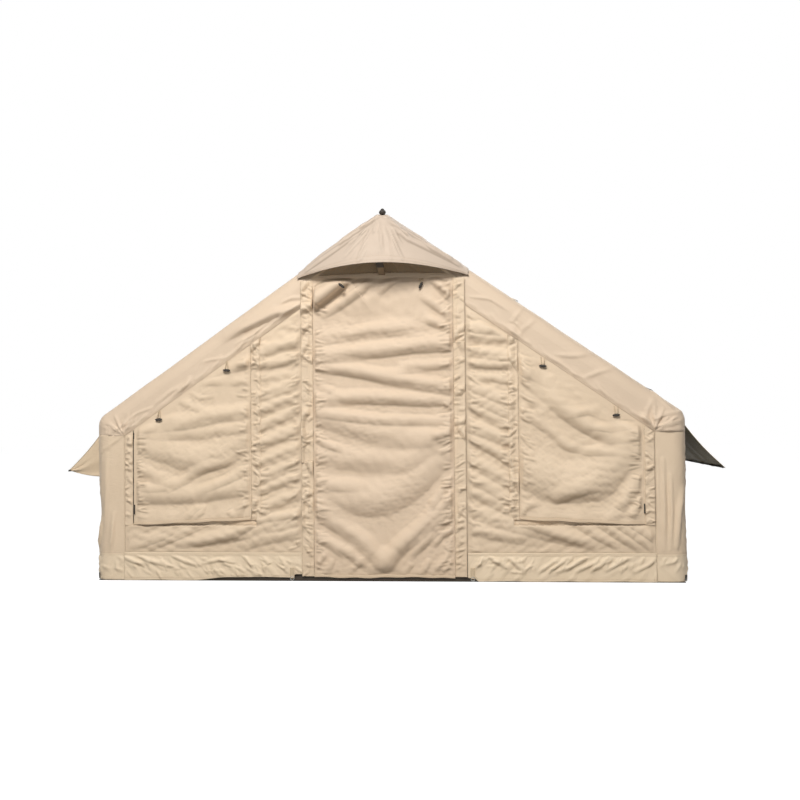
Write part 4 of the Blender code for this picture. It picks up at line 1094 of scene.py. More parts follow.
# Door
doorLooks = {"half": 0.4735, "low": 0.026, "grid": 0.0056, "stand": 0.0048}
doorFolds = handFolds([
    (36, 60, 0.6, 1, -20, 201, -25, 197.5, -35, 189.5, -43, 183.5, -48, 180.5),
    (18, 8, 0.5, 0.3, -17, 203, -27, 195, -38, 187),
    (26, 12, 0.4, 0.5, -2, 203.5, -12, 193, -24, 185, -37, 177),
    (18, 7, 0.4, 0.1, 15, 203.5, 6, 197.5, -1, 191),
    (18, 8, 0.5, 0.7, -32, 203.5, -41, 198, -48, 193),
    (16, 6, 0.5, 0.3, -10, 203.5, -16, 198.5, -24, 193),
    (20, 7, 0.3, 0.6, 30, 203, 38, 193, 47, 184),
    (16, 6, 0.3, 0.8, 34, 199, 41, 193, 48, 188.5),
    (22, 7, 0.2, 0.6, 24, 190, 36, 180, 48, 171),
    (22, 9, 0.2, 0.9, 25, 174, 38, 168, 48, 164.5),
    (34, 11, 1, 0.1, -48, 157.5, -30, 160, -10, 162.5, 10, 164, 30, 163.5),
    (110, 16, 0.9, 0.2, -48, 163.5, -25, 170, -5, 179, 6, 190),
    (38, 15, 1, 1, -48, 146.5, -20, 147.5, 0, 149, 25, 151.5, 48, 153),
    (34, 16, 0.6, 1, -48, 138.5, -30, 137.5, -15, 135, 0, 131.5, 20, 128, 48, 123.5),
    (28, 10, 0.3, 1, 8, 138.5, 25, 139.5, 48, 140.5),
    (22, 7, 0.8, 0.2, -48, 131, -42, 128, -33, 125),
    (36, 15, 1, 0.9, -48, 117, -20, 117.5, 0, 117, 20, 115.5, 48, 113.5),
    (28, 10, 0.6, 0.9, -45, 110, -20, 106.5, 0, 104.5, 20, 104, 48, 104),
    (55, 15, 0.9, 0.5, -48, 102, -35, 98.5, -20, 93.5, -5, 90, 10, 88, 30, 89.5, 45, 92.5),
    (20, 7, 0.9, 0.2, -48, 93.5, -38, 89, -28, 86),
    (20, 7, 0.9, 0.2, 48, 98, 40, 95, 32, 94),
    (55, 14, 0.6, 0.6, -48, 76.5, -30, 73, -10, 71.5, 10, 72, 20, 74.5, 30, 82, 44, 91),
    (30, 7, 0.6, 0.2, -48, 63.5, -33, 60, -15, 60),
    (80, 20, 0.6, 0.9, -46, 45, -30, 42.5, -10, 41, 5, 43, 20, 50, 33, 60, 48, 74.5),
    (22, 10, 0.9, 0.3, 48, 66, 40, 57.5, 32, 46),
    (38, 19, 1, 0.8, 48, 50, 40, 40.5, 33, 34.5, 25, 27, 16, 20, 10, 13.5, 5, 7),
    (22, 11, 0.9, 0.4, 48, 42, 38, 33, 28, 22, 20, 15),
    (18, 8, 0.9, 0.3, 48, 33, 40, 28, 34, 21),
    (40, 14, 0.9, 0.7, -48, 41, -42, 37, -30, 30, -20, 23, -12, 15, -6, 9, -1, 5.5),
    (24, 8, 0.8, 0.3, -48, 27, -38, 22, -28, 15),
    (26, 9, 0.4, 0.4, -30, 20, -22, 13, -14, 7),
    (14, 5, 0.4, 0.3, -43, 10, -38, 18),
    (14, 5, 0.4, 0.3, -36, 6, -32, 15),
    (14, 5, 0.4, 0.3, 28, 5, 33, 15),
    (14, 5, 0.4, 0.3, 36, 6, 42, 14),
    (14, 5, 0.4, 0.3, 42, 12, 46, 20),
    (14, 5, 0.4, 0.3, -20, 6, -15, 11),
    (14, 5, 0.4, 0.3, 16, 5, 21, 12),
    (14, 5, 0.4, 0.3, 40, 5, 46, 10),
]) + puckers(101, -0.474, 0.06, 2.0, 1, 90, rise=0.1) + puckers(102, 0.474, 0.06, 2.0, -1, 90, rise=-0.1)


def doorGrid():
    half = doorLooks["half"]
    xs = edgedSteps(-half, half, 0.07, 0.0045, 0.0085)
    x, share = spanRows(xs, int((lintelSeam - doorLooks["low"]) / doorLooks["grid"]))
    low = doorLooks["low"] + 0.003 * np.sin(x * 9) + 0.002 * np.cos(x * 31)
    z = low + (lintelSeam - low) * share
    relief = foldField(doorFolds, x, z, limit=0.10, boost=1.25, level=0.30)
    relief = np.maximum(relief + 0.0011 * waves(x, z, 103, 0.07, fan=0.6) + crinkled(x, z, 104), 0)
    fade = smooth((half - np.abs(x)) / 0.03)
    fade *= smooth((lintelSeam - z) / 0.05) * smooth((z - low + 0.02) / 0.05)
    relief = relief * fade
    return x, z, frontY - doorLooks["stand"] - relief, relief


def makeDoor():
    x, z, y, relief = doorGrid()
    points = np.stack([x, y, z], -1)
    door = clothGrid("doorCloth", points, (doorCloth, innerCloth), thickness=0.0018,
                     crease=foldShadeOf(relief, z))
    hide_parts("door_flap")
    sewing = stitches("doorStitches", points[[4, 5, -3]], body=None, ahead=0.0006)
    hem = tape("doorHem", points[2] + np.array([0, -0.0004, 0]), 0.020, 0.0034, hemCloth, across=(0, 0.03, 1))
    hemCut(hem)
    for piece in (door, sewing, hem):
        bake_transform(piece)
    return points


doorPoints = makeDoor()
print("door")

# Roof halves with the band over each rafter
roofLooks = {"along": 0.0100, "sag": 0.016, "seamFold": 0.0008}


def outline(kind, value, inset):
    radius = cornerRadius - inset
    if kind == "x":
        edge = cornerX + cornerRadius * math.sin(pitch)
        bendX = 1.84
        if value > bendX:  # the end of the shoulder's curve moves in with the inset
            value = bendX + (value - bendX) * (cornerX + radius * math.sin(pitch) - bendX) / (edge - bendX)
        return value, float(roofTop(np.array(value), inset))
    if kind == "side":
        return cornerX + radius, value
    return cornerX + radius * math.cos(value), shoulderHeight + radius * math.sin(value)


bandFolds = {
    "left": handFolds([
        (50, 30, 0.9, 0.3, -54.5, 181, -72, 178, -90, 170, -105, 163),
        (20, 7, 0.8, 0.3, -56, 190, -62, 190, -70, 186),
        (16, 6, 0.7, 0.3, -80, 172, -88, 166, -100, 160),
        (16, 5, 0.7, 0.2, -160, 116.5, -170, 113, -180, 105),
        (16, 5, 0.7, 0.2, -110, 150, -118, 149, -124, 147.5),
        (14, 4, 0.7, 0.2, -138, 131, -146, 127, -156, 119),
        (18, 5, 0.6, 0.2, -172, 108, -180, 104.5, -188, 100),
    ]),
    "right": handFolds([
        (18, 6, 0.6, 0.3, 60, 188.5, 72, 187, 84, 179),
        (18, 6, 0.6, 0.3, 94, 180, 88, 172, 92, 166),
        (18, 6, 0.6, 0.3, 102, 172, 95, 167, 91, 160),
        (24, 7, 0.6, 0.2, 116, 148.5, 126, 147.5, 140, 149),
        (22, 7, 0.6, 0.2, 134, 133, 144, 137, 154, 139),
        (18, 6, 0.7, 0.2, 110, 141, 116, 145, 117, 147),
        (20, 8, 0.8, 0.3, 172, 102, 176, 112, 180, 120),
        (18, 7, 0.8, 0.3, 178, 124, 184, 118, 190, 112),
        (20, 8, 0.9, 0.5, 179, 100, 187, 101.5, 196, 104),
        (20, 8, 0.8, 0.5, 180, 106, 188, 109, 197, 110),
        (16, 6, 0.8, 0.3, 166, 110, 172, 106, 176, 100),
    ]),
}
bandFolds["left"] += seamPuckers(115, -1, 0.60, 1.76, 70) + shoulderCreases(117, -1, 26)
bandFolds["right"] += seamPuckers(116, 1, 0.60, 1.76, 80) + shoulderCreases(118, 1, 54)


def makeRoofs():
    lastTurn = math.pi / 2 - pitch
    for sideName, side in sideNames:
        stations = [("side", z) for z in steps(shoulderSeam - 0.002, shoulderHeight, 0.011)[:-1]]
        stations += [("turn", t) for t in np.linspace(0, lastTurn, 14)]
        edgeX = cornerX + cornerRadius * math.cos(lastTurn)
        stations += [("x", v) for v in steps(edgeX, crownHalf, roofLooks["along"])[1:]]
        stations += [("x", v) for v in (0.026, 0.017, 0.008, 0.0)]
        rows = [(f, cornerRadius, frontY) for f in np.linspace(0, 1, 30)][:-1]
        rows += [(1.0, cornerRadius * (1 - math.sin(t)), frontY + cornerRadius * (1 - math.cos(t)))
                 for t in np.linspace(0, math.pi / 2, 22)]
        middle = [(1.0, 0.0, y) for y in steps(frontY + cornerRadius, backY - cornerRadius, 0.030)[1:-1]]
        rear = [(f, inset, frontY + backY - y) for f, inset, y in rows[::-1]]
        allRows = rows + middle + rear
        points = np.zeros((len(allRows), len(stations), 3))
        for r, (f, inset, y) in enumerate(allRows):
            for c, (kind, value) in enumerate(stations):
                px, pz = outline(kind, value, inset)
                if f < 1:
                    if kind == "x":
                        sx = min(value, cornerSeam)
                        sz = float(roofTop(np.array(sx), bandWidth))
                    else:
                        sx, sz = cornerSeam, shoulderSeam
                    px, pz = sx + (px - sx) * f, sz + (pz - sz) * f
                points[r, c] = (side * px, y, pz)
        normals, sound = gridNormals(points)
        outward = normals if normals[len(rows) + 20, 40, 2] > 0 else -normals
        y = points[..., 1]
        ahead = np.array([0, -1.0, 0])
        outward = np.where(sound[..., None], outward, np.where(y[..., None] < 0, ahead, -ahead))
        front = np.array([row[2] <= frontY + 1e-6 for row in allRows])
        rearFlat = np.array([row[2] >= backY - 1e-6 for row in allRows])
        outward[front], outward[rearFlat] = ahead, -ahead
        x, z = points[..., 0], points[..., 2]
        relief = foldField(bandFolds[sideName], x, z, boost=0.5, spread=0.6) * (y < frontY + cornerRadius)
        slopeWay = np.abs(x) / math.cos(pitch)
        relief += 0.0010 * waves(slopeWay, y * 0.8, 111 + side, 0.34, fan=0.9)
        # between the arches the cloth hangs a little, with soft pulls towards the corners
        span = np.clip((y - frontY - 0.2) / (backY - frontY - 0.4), 0, 1)
        reach = np.clip(slopeWay / 2.2, 0, 1)
        hollow = np.sin(np.pi * span) ** 0.8 * np.sin(np.pi * reach) ** 0.7
        relief -= hollow * roofLooks["sag"] * 0.45
        relief += hollow * 0.004 * waves(slopeWay, y, 121 + side, 0.42, lean=0.8, fan=0.35)
        relief += 0.003 * hollow * np.maximum(waves(slopeWay, y, 131 + side, 0.2, lean=-0.9, fan=0.25), 0)
        relief[0] = relief[-1] = 0
        relief = np.maximum(relief, -0.012) * smooth(np.abs(x) / 0.05)
        relief[:10] *= smooth(np.arange(10) / 9.0)[:, None]
        # the cloth is sewn flat along the canopy
        hinge = smooth((np.abs(x) - 1.97) / 0.02) * smooth((y + 1.25) / 0.05) * smooth((1.45 - y) / 0.05)
        relief = relief * (1 - hinge) - 0.0015 * hinge
        # rolled seam where the band meets the wall
        relief[:4] += roofLooks["seamFold"]
        relief[-4:] += roofLooks["seamFold"]
        points = points + outward * relief[..., None]
        points[..., 1] = np.where(front[:, None], points[..., 1] - 0.0012, points[..., 1])
        doorSide = np.array([kind == "x" and value < 0.531 for kind, value in stations])
        keep = np.ones((len(allRows) - 1, len(stations) - 1), bool)
        keep[:29][:, doorSide[1:]] = False
        # painted shade: the colour darkens where the roof cloth sags into a hollow
        roof = clothGrid(f"roofHalf_{sideName}", points, (roofCloth, innerCloth), keep=keep, flip=side > 0,
                         crease=np.clip(-relief * 30, 0, 0.4))
        settle(roof, "tent", "roof_cloth", f"roof_{sideName}")
        seamEnd = int(np.argmax(doorSide)) - 1
        out = np.array([0, -0.0008, 0])
        lines = [points[1, 2:seamEnd] + out, points[3, 2:seamEnd] + out, points[-2, 2:] - out,
                 points[-4, 2:] - out]
        rafter = len(rows)
        up = np.array([side * math.sin(pitch), 0, math.cos(pitch)]) * 0.0008
        lines += [points[rafter + 1, 18:] + up, points[-rafter - 2, 18:] + up]
        sewing = stitches(f"roofStitches_{sideName}", lines)


makeRoofs()
print("roof")

# Side walls go round their corner posts
sideLooks = {"low": 0.004, "leftPull": 0.014, "rightPull": 0.005, "bandStep": 0.0022}
postFolds = {
    "left": handFolds([
        (16, 5, 0.5, 0.3, -184.5, 45, -186, 30, -187, 20),
        (16, 6, 0.4, 0.4, -195, 42, -196.5, 30, -198.5, 20),
        (14, 4, 0.4, 0.2, -190, 86, -190.5, 60, -193, 36),
        (14, 4, 0.4, 0.3, -181, 97, -186, 93, -192, 88),
    ]),
    "right": handFolds([
        (16, 5, 0.5, 0.3, 186, 80, 186.5, 50, 186, 22),
        (14, 5, 0.5, 0.3, 190.5, 70, 191, 45, 190, 22),
        (18, 7, 0.4, 0.5, 199, 60, 196.5, 45, 194.5, 24),
        (14, 4, 0.5, 0.3, 182.5, 85, 182.5, 55, 183, 22),
    ]),
}


def skirtBand(piece):
    # the ground skirt gets the paler cloth: partly its own warmer tone, partly painted light for the lesser
    # light low down
    mesh = piece.data
    centres = np.zeros(len(mesh.polygons) * 3, np.float32)
    mesh.polygons.foreach_get("center", centres)
    mesh.materials.append(skirtClothPaintedLight)
    mesh.polygons.foreach_set("material_index", (centres[2::3] < 0.182).astype(np.int32) * 2)


sideWindow = {"middle": 0.1, "half": 1.05, "low": 0.669, "high": 0.939, "netLow": 0.655, "netHigh": 0.952}


def makeSideWalls():
    seam = cornerSeam + 0.0008
    for sideName, side in sideNames:
        plan = [(v, frontY) for v in steps(seam, cornerX, 0.0065)[:-1]]
        plan += [(cornerX + cornerRadius * math.sin(t), frontY + cornerRadius * (1 - math.cos(t)))
                 for t in np.linspace(0, math.pi / 2, 22)]
        plan += [(halfWidth, y) for y in steps(frontY + cornerRadius, sideWindow["middle"], 0.016)[1:]]
        plan += [(px, frontY + backY - py) for px, py in plan[::-1][1:]]
        plan = np.array(plan)
        heights = steps(sideLooks["low"], shoulderSeam + 0.004, 0.0085)
        x, z = np.meshgrid(side * plan[:, 0], heights)
        y = np.repeat(plan[None, :, 1], len(heights), 0)
        points = np.stack([x, y, z], -1)
        normals, sound = gridNormals(points)
        middle = len(plan) // 2
        if normals[20, middle, 0] * side < 0:
            normals = -normals
        run = lengthAlong(plan)
        way = np.repeat(run[None], len(heights), 0)
        relief = np.where(y < frontY + 0.1, foldField(postFolds[sideName], x, z, boost=1.2, spread=1.0), 0)
        rng = np.random.default_rng(141 + side)
        ruffles = []
        for _ in range(34):  # small gathers round the corner
            z0 = rng.uniform(0.22, 0.98)
            a0 = rng.uniform(0.22, 0.30)
            ruffles.append((rng.uniform(0.007, 0.012), rng.uniform(0.0008, 0.0022), 0.3, 0.2,
                            [(a0, z0), (a0 + rng.uniform(0.03, 0.07), z0 + rng.uniform(0.01, 0.05))]))
        relief += foldField(ruffles, way, z)
        relief += 0.0012 * waves(way, z, 151 + side, 0.11, lean=1.2, fan=0.5)
        # along the side: soft swags between the posts, and folds round the window
        inSide = np.sin(np.pi * np.clip((y + 1.2) / 2.6, 0, 1))
        relief += 0.006 * inSide * np.maximum(waves(way, z, 161 + side, 0.17, lean=0.15, fan=0.35), -0.5)
        level = np.clip((z - sideLooks["low"]) / (shoulderSeam - sideLooks["low"]), 0, 1)
        off = np.abs(y - sideWindow["middle"])
        window = (off < sideWindow["half"]) & (z > sideWindow["low"]) & (z < sideWindow["high"])
        near = np.maximum(np.maximum(off - sideWindow["half"], 0),
                          np.maximum(sideWindow["low"] - z, z - sideWindow["high"]))
        relief *= smooth(near / 0.05) * np.sin(np.pi * level) ** 0.4
        # the seam of the ground skirt, and its small pulls
        relief += 0.0016 * np.exp(-((z - skirtSeam) / 0.006) ** 2)
        pulls = np.maximum(waves(way, z, 171 + side, 0.05, lean=0.9, fan=0.3), 0)
        relief += np.where(z < skirtTop, 0.0018 * pulls, 0)
        draw = np.random.default_rng(145 + side)
        creases = []
        for _ in range(130):
            a0, z0, reach = draw.uniform(0.0, run[-1]), draw.uniform(0.03, 0.13), draw.uniform(0.03, 0.08)
            turn = 0.75 + draw.normal(0, 0.4)
            creases.append((draw.uniform(0.007, 0.013), draw.uniform(0.002, 0.0044), 0.3, 0.2,
                            [(a0, z0), (a0 + reach * math.cos(turn), z0 + reach * math.sin(turn))]))
        relief += foldField(creases, way, z) * smooth((0.176 - z) / 0.02) * smooth(z / 0.03)
        pull = -sideLooks[sideName + "Pull"] * np.exp(-((z - 0.44) / 0.17) ** 2)
        pull *= smooth((way - 0.10) / 0.12) * (1 - smooth((y - frontY - 0.1) / 0.25))
        if side < 0:
            fromFront = run[-1] - way if abs(points[0, 0, 1] - frontY) > 1 else way
            bandLine = shoulderSeam - slope * np.minimum(fromFront, 0.19)
            bandLine += 0.42 * np.maximum(fromFront - 0.19, 0)
            relief += sideLooks["bandStep"] * smooth((z - bandLine) / 0.005) * (fromFront < 0.6)
        points = points + normals * (relief + pull)[..., None]
        hole = wholeCells(window)
        wall = clothGrid(f"sideWall_{sideName}", points, (wallCloth, innerCloth), keep=~hole, flip=side < 0,
                         crease=foldShadeOf(relief, z) * 0.6)
        skirtBand(wall)
        settle(wall, "tent", "wall_cloth", f"side_wall_{sideName}")
        proud = points + normals * stitchLooks["proud"]
        levels = (0.190, 0.176, sideWindow["netLow"], sideWindow["netHigh"])
        skirtRow, lowRow, sill, head = [int(np.argmin(np.abs(heights - level))) for level in levels]
        seen = np.abs(plan[:, 1] - sideWindow["middle"]) < sideWindow["half"] + 0.02
        lines = [proud[skirtRow], proud[lowRow], proud[2:, 1], proud[sill, seen], proud[head, seen]]
        sewing = stitches(f"sideStitches_{sideName}", lines)
        ys = steps(sideWindow["middle"] - 1.06, sideWindow["middle"] + 1.06, 0.03)
        yy, zz = np.meshgrid(ys, steps(sideWindow["netLow"], sideWindow["netHigh"], 0.02))
        xx = side * (halfWidth - 0.006 - 0.003 * np.abs(waves(yy, zz, 181, 0.4)))
        net = clothGrid(f"sideNet_{sideName}", np.stack([xx, yy, zz], -1), (netCloth,), thickness=0.0,
                        flip=side < 0)
        settle(net, "tent", "net", f"side_window_net_{sideName}")


makeSideWalls()
print("side walls")

# Rear wall and the front skirts
rearLooks = {"grid": 0.012}


def makeRearWall():
    xs = steps(-cornerSeam, cornerSeam, rearLooks["grid"])
    x, share = spanRows(xs, int(2.3 / rearLooks["grid"]))
    low, top = 0.009, seamHeight(x) + 0.004
    z = low + (top - low) * share
    rng = np.random.default_rng(191)
    folds = []
    for _ in range(46):  # long slack folds between the posts
        z0, x0 = rng.uniform(0.25, 1.7), rng.uniform(-1.5, 1.2)
        run, fall = rng.uniform(0.4, 1.1), rng.normal(0, 0.10)
        folds.append((rng.uniform(0.03, 0.06), rng.uniform(0.004, 0.012), 0.1, 0.1,
                      [(x0, z0), (x0 + run / 2, z0 + fall - 0.03), (x0 + run, z0 + 2 * fall)]))
    relief = foldField(folds, x, z, boost=0.45, spread=1.2) + 0.0012 * waves(x, z, 192, 0.09, fan=0.5)
    relief = np.maximum(relief, 0) * smooth((top - z) / 0.06) * smooth((cornerSeam - np.abs(x)) / 0.05)
    relief = relief * smooth((z - 0.19) / 0.04) + 0.0016 * np.exp(-((z - skirtSeam) / 0.006) ** 2)
    pulls = np.maximum(waves(x, z, 193, 0.05, lean=0.9, fan=0.3), 0)
    relief += np.where(z < skirtTop, 0.002 * pulls, 0)
    points = np.stack([x, backY - 0.0008 + relief, z], -1)
    wall = clothGrid("rearWall", points, (wallCloth, innerCloth), flip=True, crease=foldShadeOf(relief, z))
    skirtBand(wall)
    settle(wall, "tent", "wall_cloth", "rear_wall")
    lines = [[(x, backY + 0.0016 * math.exp(-((level - skirtSeam) / 0.006) ** 2), level)
              for x in steps(-cornerSeam + 0.01, cornerSeam - 0.01, 0.02)] for level in (0.176, 0.192)]
    sewing = stitches("rearStitches", lines, ahead=-0.0008)


makeRearWall()
skirtLooks = {"grid": 0.0062, "topRise": 0.0045}
skirtFolds = {
    "left": handFolds([
        (16, 7, 0.4, 0.4, -198, 17, -190, 12, -182, 9.5),
        (16, 6, 0.4, 0.3, -180, 15, -172, 11, -164, 10),
        (16, 6, 0.4, 0.3, -172, 17, -162, 12, -150, 9),
        (14, 5, 0.4, 0.3, -146, 16, -138, 12, -128, 9),
        (14, 5, 0.4, 0.3, -122, 11, -112, 13, -104, 12),
        (14, 5, 0.4, 0.3, -98, 17, -93, 12, -90, 7),
        (14, 5, 0.4, 0.3, -84, 16, -80, 11, -79, 6),
        (14, 5, 0.4, 0.3, -72, 16, -69, 11, -66, 8),
    ]),
    "right": handFolds([
        (18, 8, 0.4, 0.4, 66, 20, 72, 13, 80, 9),
        (16, 6, 0.4, 0.4, 82, 15, 86, 11, 90, 7),
        (16, 6, 0.4, 0.4, 92, 17, 94, 12, 95, 8),
        (14, 6, 0.4, 0.4, 104, 6, 110, 10, 116, 14),
        (14, 6, 0.4, 0.4, 110, 6, 116, 10, 122, 15),
        (14, 6, 0.4, 0.4, 120, 7, 128, 11, 135, 15),
        (14, 6, 0.4, 0.4, 128, 6, 136, 10, 142, 13),
        (14, 6, 0.4, 0.4, 138, 7, 145, 11, 150, 14),
        (14, 6, 0.4, 0.4, 148, 7, 155, 11, 162, 15),
        (14, 5, 0.4, 0.3, 166, 6, 174, 10, 180, 15),
    ]),
}


def skirtCreases(seed, side, lean, count):
    def draw(rng):
        x, z, run = side * rng.uniform(0.60, 1.78), rng.uniform(0.05, 0.15), rng.uniform(0.03, 0.09)
        turn = lean + rng.normal(0, 0.35)
        dx, dz = run * math.cos(turn), run * math.sin(turn)
        path = [(x, z), (x + dx * 0.5, z + dz * 0.6), (x + dx, z + dz)]
        return rng.uniform(0.007, 0.013), rng.uniform(0.002, 0.0044), 0.3, 0.2, path

    return scattered(seed, count, draw)


skirtFolds["left"] += skirtCreases(205, -1, -0.7, 60)
skirtFolds["right"] += skirtCreases(206, 1, 0.8, 60)


def makeSkirts():
    for sideName, side in sideNames:
        xs = facing(steps(0.5575, cornerSeam + 0.004, skirtLooks["grid"]), side)
        x, share = spanRows(xs, 34)
        low = (0.026 - 0.022 * smooth((np.abs(x) - 1.05) / 0.25)) if side < 0 else 0.004 + 0 * x
        low = low + 0.022 * (1 - smooth((np.abs(x) - 0.60) / 0.03)) + 0.0015 * np.sin(np.abs(x) * 17)
        z = low + (skirtTop + 0.012 - low) * share
        relief = foldField(skirtFolds[sideName], x, z, boost=1.0, spread=1.0)
        relief += np.maximum(0.0030 * waves(x, z, 201 + side, 0.085, lean=-0.9 * side, fan=0.35), 0)
        relief = relief * smooth((skirtTop - z) / 0.02) * smooth((z - low) / 0.02)
        y = frontY - 0.003 - relief - skirtLooks["topRise"] * (1 - smooth((z - low) / 0.16)) * 0.6
        y = y - 0.0018 * smooth((z - skirtTop + 0.012) / 0.006)
        points = np.stack([x, y, z], -1)
        skirt = clothGrid(f"frontSkirt_{sideName}", points, (skirtClothPaintedLight, innerCloth), thickness=0.0018,
                          crease=foldShadeOf(relief, z) * 0.7)
        settle(skirt, "tent", "wall_cloth", f"front_skirt_{sideName}")
        sewing = stitches(f"skirtStitches_{sideName}", points[[-2, -4, 3]], ahead=0.0007)


makeSkirts()
print("rear wall and skirts")

# Groundsheet with its upturned edge
groundLooks = {"rise": 0.045, "corner": 0.09, "half": 1.979, "front": -1.397, "back": 1.579}


def makeGroundsheet():
    half, front, back = groundLooks["half"], groundLooks["front"], groundLooks["back"]
    xs, ys = steps(-half, half, 0.035), steps(front, back, 0.035)
    xx, yy = np.meshgrid(xs, ys)
    inside = np.minimum(half - np.abs(xx), np.minimum(yy - front, back - yy))
    zz = 0.0022 + 0.0012 * np.abs(waves(xx, yy, 211, 0.3, fan=1.5)) * smooth(inside / 0.1)
    floorSheet = clothGrid("groundCloth", np.stack([xx, yy, zz], -1), (groundCloth,), thickness=0.0014)
    settle(floorSheet, "tent", "groundsheet", "groundsheet")
    # the low wall of the groundsheet, inside the skirt
    edge = []
    corner = groundLooks["corner"]
    for cx, cy, start in ((half - corner, front + corner, -90), (half - corner, back - corner, 0),
                          (-half + corner, back - corner, 90), (-half + corner, front + corner, 180)):
        for turn in np.linspace(start, start + 90, 8):
            turn = math.radians(turn)
            edge.append((cx + corner * math.cos(turn), cy + corner * math.sin(turn)))
    edge = np.array(edge + edge[:1])
    run = lengthAlong(edge)
    dense = np.linspace(0, run[-1], 520)
    ex, ey = np.interp(dense, run, edge[:, 0]), np.interp(dense, run, edge[:, 1])
    levels = np.linspace(0, 1, 6)[:, None]
    lean = 0.010 * levels
    cx, cy = ex * (1 - lean * 0.4), 0.0875 + (ey - 0.0875) * (1 - lean * 0.5)
    cz = 0.003 + groundLooks["rise"] * levels * (1 + 0.06 * waves(dense, dense * 0, 212, 0.3))
    rim = clothGrid("groundRim", np.stack([cx, cy, np.broadcast_to(cz, cx.shape)], -1), (groundCloth,),
                    thickness=0.0014)
    settle(rim, "tent", "groundsheet")


makeGroundsheet()

# Gable over the door, with the vent's net
gableLooks = {"sill": 2.066, "margin": 0.03}


def makeGable():
    half = 0.5315
    x, share = spanRows(steps(-half, half, 0.0075), 74)
    low, top = 1.975, roofTop(x, cornerRadius) + 0.004
    z = low + (top - low) * share
    relief = foldField(handFolds([(14, 3, 0.3, 0.3, -50, 205, -42, 206.2),
                                  (14, 3, 0.3, 0.3, 42, 207, 50, 206)]), x, z)
    relief += 0.0007 * (waves(x, z, 221, 0.09) + 1)
    sill = gableLooks["sill"] - 0.016 * (x / 0.5) ** 2
    opening = (z > sill + 0.004) & (z < roofTop(x, cornerRadius + gableLooks["margin"] * 0.4))
    y = frontY - 0.0035 - relief - 0.0016 * smooth((sill - z) / 0.004) * smooth((z - 2.03) / 0.01)
    points = np.stack([x, y, z], -1)
    hole = wholeCells(opening)
    gable = clothGrid("gablePanel", points, (wallCloth, innerCloth), keep=~hole)
    settle(gable, "tent", "wall_cloth", "gable_panel")
    lines = [[(x, frontY - 0.0072, level) for x in steps(-0.50, 0.50, 0.01)] for level in (2.052, 2.041)]
    sewing = stitches("gableStitches", lines)
    x, share = spanRows(steps(-0.50, 0.50, 0.02), 16)
    z = lintelSeam + (np.maximum(roofTop(x, 0.105), 2.048) - lintelSeam) * share
    net = clothGrid("ventNet", np.stack([x, frontY + 0.005 + 0 * x, z], -1), (ventCloth,), thickness=0.0)
    settle(net, "tent", "net", "vent_net")


makeGable()

# Hood over the vent, held off by its prop
hoodLooks = {"half": 0.58, "rim": 2.048, "rise": 0.066, "reach": 0.20}
hoodFolds = handFolds([
    (20, 6, 0.5, 0.5, -2, 244, -22, 229, -50, 212),
    (16, 5, 0.3, 0.6, -14, 233, -32, 220, -50, 209),
    (14, 4, 0.3, 0.5, -6, 236, -14, 226, -22, 217),
    (16, 5, 0.4, 0.5, 9, 234, 18, 227, 34, 219, 44, 214),
    (16, 5, 0.3, 0.6, 20, 231, 34, 220, 50, 211),
    (12, 3, 0.3, 0.3, 2, 234, 3, 227, 3, 220),
])


def hoodRays(seed, count):
    # fine creases that spread from the peak
    def draw(rng):
        turn, start, run = rng.uniform(-1.0, 1.0), rng.uniform(0.06, 0.30), rng.uniform(0.05, 0.16)
        ends = [(math.sin(turn) * far, 2.47 - math.cos(turn) * far) for far in (start, start + run)]
        return rng.uniform(0.006, 0.011), rng.uniform(0.0015, 0.0038), 0.4, 0.2, ends

    return scattered(seed, count, draw)


hoodFolds += hoodRays(235, 46)


def hoodPlace(across, share):
    bow = np.maximum(0.0, 1 - across * across)
    x = across * hoodLooks["half"]
    top = roofTop(x, -0.0062)
    rimZ = hoodLooks["rim"] + hoodLooks["rise"] * bow
    reach = np.maximum(hoodLooks["reach"] * bow ** 1.1, 0.0065)
    y = (frontY + cornerRadius) + (-reach - cornerRadius) * share
    z = top + (rimZ - top) * share ** 2
    return np.stack(np.broadcast_arrays(x, y, z), -1)


def makeHood():
    across, share = np.meshgrid(np.linspace(-1, 1, 160), np.linspace(0, 1, 76))
    points = hoodPlace(across, share)
    normals, _ = gridNormals(points)
    if normals[40, 80, 1] > 0:
        normals = -normals
    x, z = points[..., 0], points[..., 2]
    relief = foldField(hoodFolds, x, z, boost=1.2, spread=1.1) + 0.0006 * waves(x, z, 231, 0.10, fan=1.0)
    relief *= smooth(share / 0.2) * smooth((1 - share) / 0.05) * smooth((1 - np.abs(across)) / 0.06)
    relief += 0.0014 * np.exp(-((share - 0.945) / 0.012) ** 2)
    points = points + normals * relief[..., None]
    # painted fold shade, with the rows read bottom up because the hood's rows run downwards
    hood = clothGrid("ventHood", points, (hoodCloth, innerCloth), thickness=0.0022, flip=True,
                     crease=foldShadeOf(relief[::-1], z[::-1])[::-1] * 1.1)
    settle(hood, "tent", "roof_cloth", "vent_hood")
    row = int(76 * 0.93)
    sewing = stitches("hoodStitches", [points[row, 3:-3] + normals[row, 3:-3] * 0.0008,
                                       points[-3, 3:-3] + normals[-3, 3:-3] * 0.0008])
    for piece in (hood, sewing):
        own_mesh(piece)


makeHood()


propLooks = {"root": (0, -1.4035, 2.0575), "tip": (0, -1.583, 2.125)}


